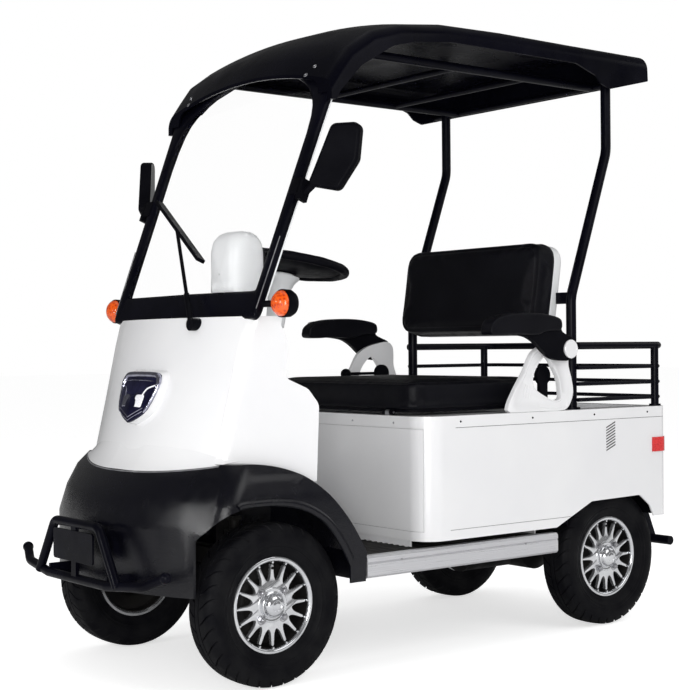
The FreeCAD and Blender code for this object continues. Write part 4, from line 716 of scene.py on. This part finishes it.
def backrest():
    """The cushion wraps round the front of its shell, which shows only behind it."""
    matrix = Matrix.Translation((0.0, 0.395, 0.888)) @ Matrix.Rotation(-back_lean, 4, "X")
    half_x, low, high, thick, corner, inset = 0.3075, -0.0040, 0.2770, 0.070, 0.066, 17 * mm
    form = slab(rounded_box((-half_x, low), (half_x, high), corner), thick, 14 * mm, 3)
    form = place(form, Matrix.Translation((0.0, 4 * mm, 0.0)))
    made = blown("backrest_cushion_soft", form, 8 * mm, 7 * mm, lambda p: p.y > thick - 6 * mm)
    middle = (high + low) / 2
    edge = half_x - inset, (high - low) / 2 - inset, corner - inset
    sewn(made, lambda p: rounded_box_distance(p.x, p.z - middle, *edge) if p.y < thick * 0.4 else 1.0)
    finish_soft(made, "chassis", "backrest_cushion", matrix)
    line = rounded_box_line(*(measure - 5 * mm for measure in edge), 360)
    stitches(
        "backrest_stitches", surface_of(made), line, (matrix.to_3x3() @ Vector((0.0, 1.0, 0.0))).normalized(),
        lambda p: matrix @ Vector((p[0], -0.1, p[1] + middle)), "chassis")
    shell = slab(rounded_box((-0.3065, 0.001), (0.3065, 0.274), 0.064), 0.036, 12 * mm, 4)
    shell = place(place(shell, Matrix.Translation((0.0, 0.064, 0.0))), matrix)
    piece("backrest_shell_panel", shell, "shroud", hides="backrest_shell")
    arm = block((0.280, 0.499, 0.968), (0.3575, 0.513, 1.002), 2.5 * mm)
    bolt = screw(Vector((0.325, 0.4992, 0.985)), (0, -1, 0), 6.0)
    piece("backrest_arms", both_sides(arm, bolt), "paint")


def side_form(points, inner_x, outer_x, bevel, steps):
    """A side view outline of (y from the front axle, z) in mm, between two x places."""
    outline = [(front_axle_y + y * mm, z * mm) for y, z in points]
    return on_side(slab(outline, outer_x - inner_x, bevel, steps), inner_x)


def armrests():
    elbow = spline([
        (760, 878), (800, 875), (842, 869), (868, 858), (888, 845), (906, 830), (926, 816), (948, 806),
        (975, 801), (1010, 801), (1036, 812), (1047, 836), (1036, 862), (1008, 874), (986, 884), (975, 900),
        (940, 908), (860, 905), (780, 895)], 5, True)
    pad = spline([
        (694, 892), (695, 880), (704, 875), (735, 874), (775, 876), (815, 876), (855, 874), (885, 876),
        (910, 884), (945, 887), (968, 888), (977, 895), (978, 908), (972, 920), (950, 928), (900, 935),
        (840, 937), (775, 934), (725, 924), (701, 909)], 5, True)
    elbow = side_form(elbow, 0.4095, 0.4295, 3.5 * mm, 3)
    pad = side_form(pad, 0.3922, 0.4378, 12 * mm, 5)
    ribs = []
    for i in range(6):
        y, z = front_axle_y + (716 + 8 * i) * mm, (924.0 + 1.2 * i) * mm
        path = [(0.3990, -4.6), (0.403, 0.2), (0.415, 1.6), (0.427, 0.2), (0.431, -4.6)]
        ribs.append(sweep(spline([(x, y, z + rise * mm) for x, rise in path], 4), 1.0, 6))
    for word, flip in (("left", False), ("right", True)):
        body = "armrest_" + word
        shapes = [mirrored(f) if flip else f for f in (elbow, pad, merged(ribs))]
        piece(body + "_arm", shapes[0], "plastic", body, hides=body)
        piece(body + "_pad", shapes[1], "leather", body, angle=60)
        piece(body + "_ribs", shapes[2], "leather", body)


def at_angles(line, centre, count=96):
    """A line round a centre, cut at even angles."""
    turned = sorted((math.atan2(z - centre[1], y - centre[0]), y, z) for y, z in line)
    result = []
    for k in range(count):
        angle = full_turn * k / count - math.pi
        after = next((i for i, t in enumerate(turned) if t[0] > angle), 0)
        a, b = turned[after - 1], turned[after]
        t = ((angle - a[0]) % full_turn) / ((b[0] - a[0]) % full_turn)
        result.append((a[1] + (b[1] - a[1]) * t, a[2] + (b[2] - a[2]) * t))
    return result


def armrest_brackets():
    """White side plates with a window, a raised rim, ribs and the pivot discs."""
    outline = spline([
        (938, 848), (905, 833), (884, 815), (857, 770), (826, 728), (803, 694), (791, 668), (797, 657),
        (830, 655.6), (926, 655.6), (1005, 655.6), (1034, 662), (1052, 686), (1059, 712), (1052, 748),
        (1040, 785), (1040, 815), (1036, 845), (1014, 861), (975, 856)], 4, True)
    window = spline([
        (938, 811), (911, 788), (895, 762), (892, 743), (900, 723), (921, 709), (951, 695), (976, 687),
        (996, 688), (1004, 699), (997, 744), (977, 779), (956, 807)], 6, True)
    # the plate is a band between the window and the outline, joined by angle
    inner, outer = [at_angles(line, (950, 742)) for line in (window, outline)]
    inner_x, outer_x = 0.3862, 0.4020
    # share of the way from the window to the outline, and how far the face lies under the outer side
    face = [(0.0, 2.0), (0.02, 0.0), (0.14, 0.0), (0.20, 2.5), (0.72, 3.0), (0.80, 0.0), (0.97, 0.0), (1.0, 2.0)]
    profile = [(0.0, inner_x)] + [(share, outer_x - under * mm) for share, under in face] + [(1.0, inner_x)]
    rows = []
    for share, x in profile:
        rows.append([
            (x, front_axle_y + (a[0] + (b[0] - a[0]) * share) * mm, (a[1] + (b[1] - a[1]) * share) * mm)
            for a, b in zip(inner, outer)])
    forms = [net(rows, close_rows=True, close_across=True)]
    boss = lathe([
        (401.8, 21), (409, 20), (409, 8), (430.2, 8), (430.2, 26), (431.8, 27), (436.2, 27),
        (438, 25.4), (438.3, 22.4), (437.3, 21.6), (437.3, 0.01)], 40)
    forms.append(place(boss, Matrix.Translation((0.0, 0.424, 0.834))))
    for i in range(4):
        y, z = front_axle_y + (852 + 9 * i) * mm, (700 - 3 * i) * mm
        forms.append(sweep([(outer_x - 2.6 * mm, y, z), (outer_x - 2.0 * mm, y + 10 * mm, z + 34 * mm)], 1.3, 8))
    piece("armrest_bracket_plates", both_sides(*forms), "white", hides="armrest_brackets")


# Laying trims on a CAD node's surface, with rays that run one way from a plane outside the cart

views = {
    "side": (Vector((-1, 0, 0)), lambda y, z: (1.0, y, z)),
    "front": (Vector((0, 1, 0)), lambda x, z: (x, -1.5, z)),
    "rear": (Vector((0, -1, 0)), lambda x, z: (x, 2.0, z)),
    "top": (Vector((0, 0, -1)), lambda x, y: (x, y, 2.2)),
}


def node_tree(name):
    return surface_of(nodes[name])


def met(tree, points, view):
    """Where a view's rays meet a surface, with the normals turned to the viewer. Rays that miss are left out."""
    direction, start = views[view]
    found = []
    for p in points:
        hit, normal = tree.ray_cast(Vector(start(*p)), direction, 3.0)[:2]
        if hit is not None:
            found.append((hit, -normal if normal.dot(direction) > 0 else normal))
    return found


def laid(tree, points, view, lift):
    return [hit + normal * lift for hit, normal in met(tree, points, view)]


def head_lamp():
    """A dark domed shield on a raised seat, with a bright top bar, side trims and two small lights, of which the one
    at the cart's right takes the trim's darker colour as painted shade.
    """
    cowl = node_tree("front_cowl")
    half = [
        (0.0, 0.6525), (0.020, 0.6590), (0.040, 0.6680), (0.057, 0.6780), (0.068, 0.6895), (0.077, 0.7080),
        (0.084, 0.7300), (0.0885, 0.7500), (0.0880, 0.7650), (0.0830, 0.7760), (0.070, 0.7820), (0.038, 0.7835)]
    corners = half + [(0.0, 0.7840)] + [(-x, z) for x, z in reversed(half[1:])]
    outline = [
        p for a, b in zip(corners, corners[1:] + corners[:1]) for p in (a, ((a[0] + b[0]) / 2, (a[1] + b[1]) / 2))]
    centre_z, dome = 0.722, 8.0 * mm

    def stand(z):
        """How far the lens stands off the cowl, more at its foot."""
        return (20.0 + 9.0 * (0.784 - z) / 0.132) * mm

    def surface(x, z, proud):
        hit = met(cowl, [(x, z)], "front")[0][0]
        return hit.x, hit.y - proud, hit.z

    def on_lens(x, z, lift):
        reach = min(1.0, math.hypot(x / 0.086, (z - centre_z) / 0.068))
        return surface(x, z, stand(z) + dome * (1 - reach ** 2) + lift)

    def ring(share, proud):
        """The outline drawn in or out by a share, where proud says how far it stands off at a height."""
        return [surface(x * share, centre_z + (z - centre_z) * share, proud(z)) for x, z in outline]

    def bar(points, radius, sides=8, lift=None):
        """A bar that lies on the lens, or on its edge where no lift is given."""
        if lift is None:
            path = [surface(x, z, stand(z) - 0.5 * mm) for x, z in points]
        else:
            path = [on_lens(x, z, lift * mm) for x, z in points]
        return sweep(path, radius, sides)

    seat = [ring(1.10, lambda z: -1 * mm)]
    for share, rise in ((1.085, 0.10), (1.05, 0.42), (1.025, 0.66), (1.012, 0.74), (0.99, 0.74)):
        seat.append(ring(share, lambda z: stand(z) * rise))
    piece("head_lamp_seat", net(seat, close_across=True), "white", angle=60)
    rings = [(1.0, -8 * mm), (1.0, -2 * mm), (0.99, -0.5 * mm)]
    rings += [(share, dome * (1 - share ** 2)) for share in (0.97, 0.93, 0.86, 0.76, 0.62, 0.46, 0.30, 0.15, 0.01)]
    rings = [ring(share, lambda z: stand(z) + lift) for share, lift in rings]
    piece("head_lamp_lens", net(rings, close_across=True), "lamp", hides="head_lamp")

    top = [(0.0, 0.7775), (0.059, 0.7765), (0.077, 0.7725), (0.0852, 0.760), (0.0860, 0.742)]
    top = spline([(-x, z) for x, z in reversed(top[1:])] + top)
    radii = [4.8 + 3.2 * math.sin(math.pi * i / (len(top) - 1)) ** 0.5 for i in range(len(top))]
    forms = [bar(top, radii, 14)]
    for side in (-1, 1):
        cheek = [(0.0860, 0.743), (0.0825, 0.728), (0.075, 0.706), (0.067, 0.690), (0.060, 0.6815)]
        cheek = spline([(side * x, z) for x, z in cheek])
        forms.append(bar(cheek, [4.8 - 2.0 * i / (len(cheek) - 1) for i in range(len(cheek))], 12))
    for foot_z, radius in ((0.6680, 1.6), (0.6595, 1.3)):
        lower = [(0.058 * k / 14, foot_z + 0.0245 * abs(k) / 14) for k in range(-14, 15)]
        forms.append(bar(lower, radius, lift=0.6))
    brow = [(-0.080, 0.754), (-0.072, 0.7595), (-0.040, 0.7625), (0.0, 0.7630), (0.040, 0.7625), (0.072, 0.7595)]
    forms.append(bar(spline(brow), 1.3, lift=0.4))
    light = rounded_outline([(-20, 15, 9), (18, 15, 9), (14, -17, 4), (-16, -17, 4)], 5)
    arm = spline([(0.042, 0.724), (0.051, 0.739), (0.062, 0.745), (0.080, 0.750)], 6)
    elements = []
    for side in (-1, 1):
        rings = []
        for share, lift in ((1.0, -2.0), (1.0, 0.6), (0.93, 1.3), (0.60, 1.5), (0.02, 1.2)):
            rings.append([
                on_lens(side * (0.034 + x * mm * share), 0.711 + z * mm * share, lift * mm) for x, z in light])
        elements.append([net(rings, close_across=True), bar([(side * x, z) for x, z in arm], 2.2, lift=0.6)])
    # the light at the cart's right, elements[0], goes in with the trim: painted shade on one of two like lights
    piece("head_lamp_trim_and_shaded_light", merged(forms + elements[0]), "trim")
    piece("head_lamp_lights", merged(elements[1]), "pearl")


def turn_signals():
    x, y, z = 0.413, -0.587, 0.954
    spot = Matrix.Translation((x, y, z))
    housing = lathe([(-2, 33.6), (-2, 35), (2, 35), (20, 34), (29, 29), (33, 18), (33, 0.01)], 48, "Y")
    stalk = [(0.3485, y - 14 * mm, z), (0.368, y - 11 * mm, z), (0.382, y + 8 * mm, z), (0.400, y + 16 * mm, z)]
    lens_radius, lens_height, rows = 33.2, 26.0, 33
    lens = [(0.0, lens_radius)]
    for i in range(1, rows):
        t = i / rows
        ripple = 0.35 * math.cos(9 * math.pi * t)
        lens.append((ripple - lens_height * (1 - (1 - t) ** 2) ** 0.5, lens_radius * (1 - t)))
    lens.append((-lens_height, 0.01))
    bezel = lathe([(-1, 32.8), (-4, 33.2), (-4, 34.6), (-1, 35)], 48, "Y", close=True)
    piece("turn_signal_housings", both_sides(place(housing, spot), sweep(stalk, 8.5, 20)), "plastic",
          hides="turn_signals")
    piece("turn_signal_lenses", both_sides(place(lathe(lens, 56, "Y"), spot)), "amber", angle=60)
    piece("turn_signal_bezels", both_sides(place(bezel, spot)), "plastic")


# Steering wheel, drawn flat and then leaned

steering_centre = (0.0, -0.284, 1.078)
steering_lean = math.radians(10)
steering_radius = 0.176


def spoke_form():
    """A spoke towards +Y that narrows and sinks in the middle."""
    section = ((-1, -0.4), (-0.8, -1), (0.8, -1), (1, -0.4), (1, 0.4), (0.8, 1), (-0.8, 1), (-1, 0.4))
    steps = 12
    rows = []
    for k in range(steps + 1):
        t = k / steps
        half = (19.0 - 9.0 * math.sin(math.pi * t) + 2.0 * t) * mm
        thick = (6.0 - 1.5 * t) * mm
        sink = -5 * mm * math.sin(math.pi * t)
        rows.append([(a * half, 0.036 + 0.134 * t, sink + b * thick) for a, b in section])
    points, faces = net(rows, close_across=True)
    sides = len(section)
    return points, faces + [tuple(range(sides)), tuple(reversed(range(steps * sides, len(points))))]


def steering_wheel():
    matrix = Matrix.Translation(steering_centre) @ Matrix.Rotation(-steering_lean, 4, "X")
    count, grips = 144, 12
    ring = [(x, y, 0.0) for x, y in circle(steering_radius, count)]
    radii = [12.2 + 0.8 * max(0.0, math.cos(full_turn * grips * i / count)) for i in range(count)]
    hub = [(-26, 0.01), (-26, 40), (-20, 44), (2, 44), (9, 40), (12, 30), (13, 0.01)]
    forms = [sweep(ring, radii, 16, closed=True), lathe(hub, 48, "Z")]
    forms += [place(spoke_form(), Matrix.Rotation(math.radians(180 + 120 * i), 4, "Z")) for i in range(3)]
    bowl = [(-23, 40), (-21, 70), (-15, 108), (-7, 155), (-3, 160), (-9, 108), (-14, 70), (-15, 40)]
    forms.append(lathe(bowl, 72, "Z", close=True))
    collar = [(-96, 20), (-92, 27), (-70, 31), (-50, 40), (-38, 50), (-33, 51), (-33, 0.01)]
    cap = [(13, 26), (14.6, 25), (15.2, 20), (15.4, 0.01)]
    cap_ring = lathe([(12.6, 30), (13.8, 28.8), (13.8, 27.4), (12.6, 26.4)], 40, "Z", close=True)
    piece("column_collar", place(lathe(collar, 48, "Z"), matrix), "shroud")
    piece("steering_wheel_rim", place(merged(forms), matrix), "plastic", "steering_wheel",
          hides="steering_wheel")
    piece("steering_wheel_cap", place(lathe(cap, 40, "Z"), matrix), "canopy", "steering_wheel")
    piece("steering_wheel_ring", place(cap_ring, matrix), "chrome", "steering_wheel")


# Small fittings

def screw(point, normal, radius):
    """A domed screw head on a surface, with its radius in mm."""
    head = lathe([
        (0.0, radius), (1.0, radius * 0.94), (2.0, radius * 0.6), (1.8, radius * 0.45), (0.7, radius * 0.34),
        (0.7, 0.001)], 20, "Z")
    turn = Vector(normal).to_track_quat("Z", "Y").to_matrix().to_4x4()
    return place(head, Matrix.Translation(point) @ turn)


def screws_on(node, points, view, radius):
    return [screw(hit, normal, radius) for hit, normal in met(node_tree(node), points, view)]


def fittings():
    dark = screws_on("rear_body", [(y, 0.639) for y in (0.02, 0.30, 0.56, 0.80)], "side", 3.0)
    piece("body_screws", both_sides(*dark), "plastic")
    front = screws_on("rear_body", [(x, 0.636) for x in (-0.27, -0.09, 0.09, 0.27)], "front", 3.0)
    piece("panel_screws", merged(front), "steel")
    sill = screws_on("side_sills", [(-0.197, 0.286), (0.267, 0.283)], "side", 3.6)
    piece("sill_screws", both_sides(*sill), "steel")
    canopy = screws_on("canopy", [(0.30, -0.395), (0.30, 0.62)], "top", 6.0)
    canopy += screws_on("canopy", [(0.285, 1.555)], "front", 6.5)
    piece("canopy_screws", both_sides(*canopy), "steel")


def seams():
    """Thin dark joint lines round the rear body, a dark line low on its sides painted as the shadow under a step,
    and the slanted stripes on its sides.
    """
    body = node_tree("rear_body")
    upper_z, step_shadow_z, step, lift = 0.6225, 0.345, 9.5 * mm, 0.1 * mm
    upper = laid(body, [(0.001 + step * i, upper_z) for i in range(94)], "side", lift)
    # the lower line is painted shade: the shadow line under the step low on the side
    lower = laid(body, [(-0.020 + step * i, step_shadow_z) for i in range(52)], "side", lift)
    rear = laid(body, [(-0.372 + 0.012 * i, upper_z) for i in range(63)], "rear", lift)
    forms = [both_sides(sweep(upper, 0.7, 6)), both_sides(sweep(lower, 0.6, 6)), sweep(rear, 0.7, 6)]
    piece("body_seams_and_step_shadow", merged(forms), "seam")
    stripe_count, stripe_pitch = 9, 8.5 * mm
    stripes = []
    for i in range(stripe_count):
        z = 0.612 - stripe_pitch * i
        bar = slab([(0.612, z - 0.016), (0.652, z), (0.652, z + 0.0035), (0.612, z - 0.0125)], 0.5 * mm)
        stripes.append(on_side(bar, body_half + lift))
    piece("side_stripes", both_sides(*stripes), "stripe")


def mirror_faces():
    outline = rounded_outline([
        (-5, 1399, 18), (64, 1400, 18), (55, 1311, 28), (8, 1240, 16), (-66, 1254, 12), (-49, 1292, 28)])
    glass = slab([(x * mm, z * mm) for x, z in outline], 1.5 * mm, 0.5 * mm)
    swivel, back = math.radians(38), 34 * mm
    turn = Matrix.Translation((0.470, -0.467, 0.0)) @ Matrix.Rotation(swivel, 4, "Z")
    glass = place(glass, turn @ Matrix.Translation((0.0, back, 0.0)))
    piece("mirror_glasses", both_sides(glass), "mirror")


def floor_ribs():
    low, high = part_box("floor_pan")
    pitch, half_width, end_y = 0.0235, 4 * mm, -0.105
    forms = []
    for i in range(-15, 16):
        x = i * pitch
        if abs(x) > high.x - 0.02:
            continue
        # the ribs at the sides start behind the wheel arches
        start = low.y + 0.012 if abs(x) < 0.165 else -0.309
        forms.append(block((x - half_width, start, high.z), (x + half_width, end_y, high.z + 2.2 * mm), 0.8 * mm, 1))
    piece("floor_ribs", merged(forms), "rubber")


# Screen frame in the leaning plane of the glass

screen_lean = math.radians(21)
screen_foot_y, screen_foot_z = -0.602, 0.924


def on_screen(x, out, rise):
    """A point in front of the glass by out, and up along it by rise."""
    return (
        x, screen_foot_y - out * math.cos(screen_lean) + rise * math.sin(screen_lean),
        screen_foot_z + out * math.sin(screen_lean) + rise * math.cos(screen_lean))


def screen_frame():
    """Posts that taper to the foot, joined by a low beam and a bowed head, with pale strips painted as highlights
    along the posts' rear edges, and mirror clamps.
    """
    outer = [
        (0, -15), (180, -15), (320, -15), (342, -14), (350, -8), (352, 4), (353, 60), (358, 200), (365, 400),
        (371, 560), (375, 640), (372, 662), (360, 682), (300, 704), (200, 730), (100, 746), (0, 752)]
    inner = [
        (0, 62), (180, 61), (296, 60), (312, 61), (319, 64), (321, 71), (322, 90), (324, 205), (328, 400),
        (330, 490), (326, 540), (316, 578), (300, 608), (278, 632), (249, 653), (198, 679), (95, 709), (0, 718)]
    outer += [(-x, z) for x, z in reversed(outer[1:-1])]
    inner += [(-x, z) for x, z in reversed(inner[1:-1])]
    pairs = []
    for i, (a, b) in enumerate(zip(outer, inner)):
        c, d = outer[(i + 1) % len(outer)], inner[(i + 1) % len(inner)]
        for k in range(4):
            pairs.append([(p + (q - p) * k / 4) * mm for p, q in zip(a + b, c + d)])
    # share of the way from the inner line to the outer one, and how far out of the glass
    profile = [
        (0.0, 9), (0.0, 22), (0.06, 25), (0.14, 26.5), (0.86, 26.5), (0.94, 25), (1.0, 22), (1.0, 9), (0.92, 5),
        (0.08, 5)]
    rows = [
        [on_screen(p[2] + (p[0] - p[2]) * share, out * mm, p[3] + (p[1] - p[3]) * share) for p in pairs]
        for share, out in profile]
    bars = net(rows, close_rows=True, close_across=True)
    piece("screen_frame_bars", bars, "paint", hides="screen_frame")

    def strip(ends, out, radius):
        return sweep([on_screen(x * mm, out * mm, rise * mm) for x, rise in ends], radius, 8)

    # pale strips along the posts' outer rear edges: painted highlights
    edge_highlight_strips = [strip(ends, 7.0, 2.2) for ends in (((354, 24), (360.5, 308)), ((362.5, 372), (372, 600)))]
    piece("screen_edge_highlights", both_sides(*edge_highlight_strips), "shroud")
    # a grey bar along the post's front outer edge near its foot: a painted highlight
    glint = strip(((350.5, 10), (357.5, 205)), 25.8, 1.3)
    piece("screen_glints", both_sides(glint), "highlight_bead")
    points, faces = block((0.346, 2 * mm, 0.318), (0.3835, 30 * mm, 0.364), 3 * mm)
    piece("mirror_clamps", both_sides(([on_screen(*p) for p in points], faces)), "plastic")


def dash_cover():
    """The pod's outline, drawn in towards its front and its back."""
    low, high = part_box("dash_pod")
    outline = rounded_box((low.x, low.z - 1 * mm), (high.x, high.z), 30 * mm, 10, 46 * mm)
    centre, half = (low + high) / 2, (high.y - low.y) / 2
    steps = 12
    rows = []
    for k in range(steps + 1):
        angle = math.pi * k / steps
        share = math.sin(angle) ** 0.45 if 0 < k < steps else 0.02
        y = centre.y - half * (abs(math.cos(angle)) ** 0.8) * math.copysign(1, math.cos(angle))
        rows.append([(centre.x + (x - centre.x) * share, y, centre.z + (z - centre.z) * share) for x, z in outline])
    piece("dash_pod_cover", net(rows, close_across=True), "shroud", angle=60, hides="dash_pod")


def cowl_apron():
    """The white apron from the cowl down over the skirt's top, with a thin rubber edge under it whose grey is a
    painted highlight.
    """
    skirt, cowl = node_tree("front_skirt"), node_tree("front_cowl")
    half, steps = 0.332, 10
    foot_z, knee_z, head_z = 0.5335, 0.5575, 0.600
    across = [-half + 0.0083 * i for i in range(81)]

    def foot(x):
        return foot_z + 0.023 * min(1.0, abs(x) / half) ** 2.5

    rows = []
    for x in across:
        low = laid(skirt, [(x, foot(x))], "front", 1.2 * mm)
        knee = laid(skirt, [(x, knee_z)], "front", 1.2 * mm)
        high = laid(cowl, [(x, head_z - 0.035 * (abs(x) / half) ** 4)], "front", -0.3 * mm)
        if not (low and knee and high):
            continue
        a, c = low[0], high[0]
        bend = knee[0] * 0.76 + (a + c) * 0.12
        row = [a + Vector((0.0, 4 * mm, -1 * mm))]
        for t in (k / steps for k in range(steps + 1)):
            row.append(a * (1 - t) ** 2 + bend * (2 * t * (1 - t)) + c * t ** 2)
        rows.append(row)
    piece("cowl_apron", net(rows), "white", angle=50)
    # a real rubber edge under the apron; its grey paints the highlight on it
    highlight_bead = laid(skirt, [(x, foot(x) - 2.2 * mm) for x in across], "front", 0.4 * mm)
    piece("cowl_bead_painted_highlight", sweep(highlight_bead, 1.7, 8), "highlight_bead")


def arch_lips():
    """The rolled lip along the skirt's edge round the wheel."""
    edge = spline([(-125, 451), (-105, 456), (-2, 454), (68, 438), (133, 400), (176, 348), (206, 296)], 6)
    skirt_x, bend_z = 0.412, 0.400
    rows = []
    for offset, lift in ((1.5, -1.0), (2.5, 2.2), (6.0, 4.2), (11.0, 4.6), (16.0, 3.4), (20.0, 0.6), (21.0, -1.0)):
        row = []
        for i, (y, z) in enumerate(edge):
            a, b = edge[max(i - 1, 0)], edge[min(i + 1, len(edge) - 1)]
            along = Vector((b[0] - a[0], b[1] - a[1])).normalized()
            height = (z + along.x * offset) * mm
            # the skirt's side draws in above bend_z
            x = skirt_x - 3 * mm * max(0.0, (height - bend_z) / 0.070) ** 2 + lift * mm
            row.append((x, front_axle_y + (y - along.y * offset) * mm, height))
        rows.append(row)
    piece("arch_lips", both_sides(net(rows)), "skirt", angle=60)


# Floor, world, lamps and camera

seen_strength, soft_strength, reflected_strength = 1.0, 0.46, 0.12
floor_glow = 0.6


def floor():
    """A pale floor that glows a little where it is seen straight or through glass."""
    reach = 40.0
    corners = [(-reach, -reach, 0.0), (reach, -reach, 0.0), (reach, reach, 0.0), (-reach, reach, 0.0)]
    ground = add_object("floor", (corners, [(0, 1, 2, 3)]))
    pale = Finish("floor_pale", (0.9, 0.9, 0.9), 0.9)
    plain = pale.shader.outputs["BSDF"]
    rays = pale.node("ShaderNodeLightPath", {}).outputs
    seen = pale.calculated("MAXIMUM", rays["Is Camera Ray"], rays["Is Transmission Ray"])
    glow = pale.node("ShaderNodeEmission", {"Strength": floor_glow}).outputs["Emission"]
    both = pale.node("ShaderNodeAddShader", {0: plain, 1: glow}).outputs["Shader"]
    mix = pale.node("ShaderNodeMixShader", {0: seen, 1: plain, 2: both})
    output = next(n for n in pale.tree.nodes if n.type == "OUTPUT_MATERIAL")
    pale.link(mix.outputs["Shader"], output.inputs["Surface"])
    ground.data.materials.append(pale.material)


def studio_world():
    """One strength for what is seen straight or through glass, one for soft light and one for reflections."""
    world = bpy.data.worlds.new("studio")
    bpy.context.scene.world = world
    world.use_nodes = True
    studio = NodeTree(world.node_tree)
    rays = studio.node("ShaderNodeLightPath", {}).outputs
    direct = studio.calculated("MAXIMUM", rays["Is Camera Ray"], rays["Is Transmission Ray"])
    lit = studio.calculated("MULTIPLY_ADD", direct, seen_strength - soft_strength, soft_strength)
    reflected = studio.calculated("SUBTRACT", rays["Is Glossy Ray"], direct, clamp=True)
    strength = studio.calculated("MULTIPLY_ADD", reflected, reflected_strength - soft_strength, lit)
    background = studio.tree.nodes["Background"]
    studio.link(strength, background.inputs["Strength"])
    background.inputs["Color"].default_value = (1.0, 1.0, 1.0, 1.0)


def lamp(name, spot, aim, size, power):
    data = bpy.data.lights.new(name, "AREA")
    data.shape = "RECTANGLE"
    data.size, data.size_y = size
    data.energy = power
    made = bpy.data.objects.new(name, data)
    bpy.context.scene.collection.objects.link(made)
    made.location = spot
    made.rotation_mode = "QUATERNION"
    made.rotation_quaternion = (Vector(aim) - Vector(spot)).to_track_quat("-Z", "Y")


def camera():
    """The photograph's camera, as it was solved from the cart's measures."""
    data = bpy.data.cameras.new("camera")
    data.sensor_width = 36.0
    data.lens = 74.96
    made = bpy.data.objects.new("camera", data)
    bpy.context.scene.collection.objects.link(made)
    right = Vector((0.61881621, 0.78549151, -0.00834188))
    up = Vector((0.00636338, 0.00560645, 0.99996404))
    matrix = Matrix((right, up, right.cross(up))).transposed().to_4x4()
    matrix.translation = (3.27813, -2.66646, 0.84460)
    made.matrix_world = matrix
    bpy.context.scene.camera = made


dress_nodes()
wheels()
struts()
seat_cushion()
backrest()
armrests()
armrest_brackets()
head_lamp()
turn_signals()
steering_wheel()
fittings()
seams()
mirror_faces()
floor_ribs()
screen_frame()
dash_cover()
cowl_apron()
arch_lips()

floor()
studio_world()
lamp("key", (4.0, -3.1, 1.0), (0.2, -0.2, 0.6), (1.6, 1.6), 98.0)
lamp("strip", (0.34, -3.7, 1.25), (0.34, -0.8, 0.50), (0.12, 1.1), 26.0)
lamp("side", (3.4, 0.9, 2.8), (0.2, 0.4, 0.6), (2.4, 2.2), 31.0)
lamp("top", (0.0, 0.4, 4.6), (0.0, 0.2, 0.0), (4.0, 4.0), 20.0)
lamp("rear", (1.0, 4.2, 2.6), (0.0, 0.5, 0.8), (3.0, 2.2), 24.0)
camera()
bpy.context.scene.view_settings.view_transform = "Standard"
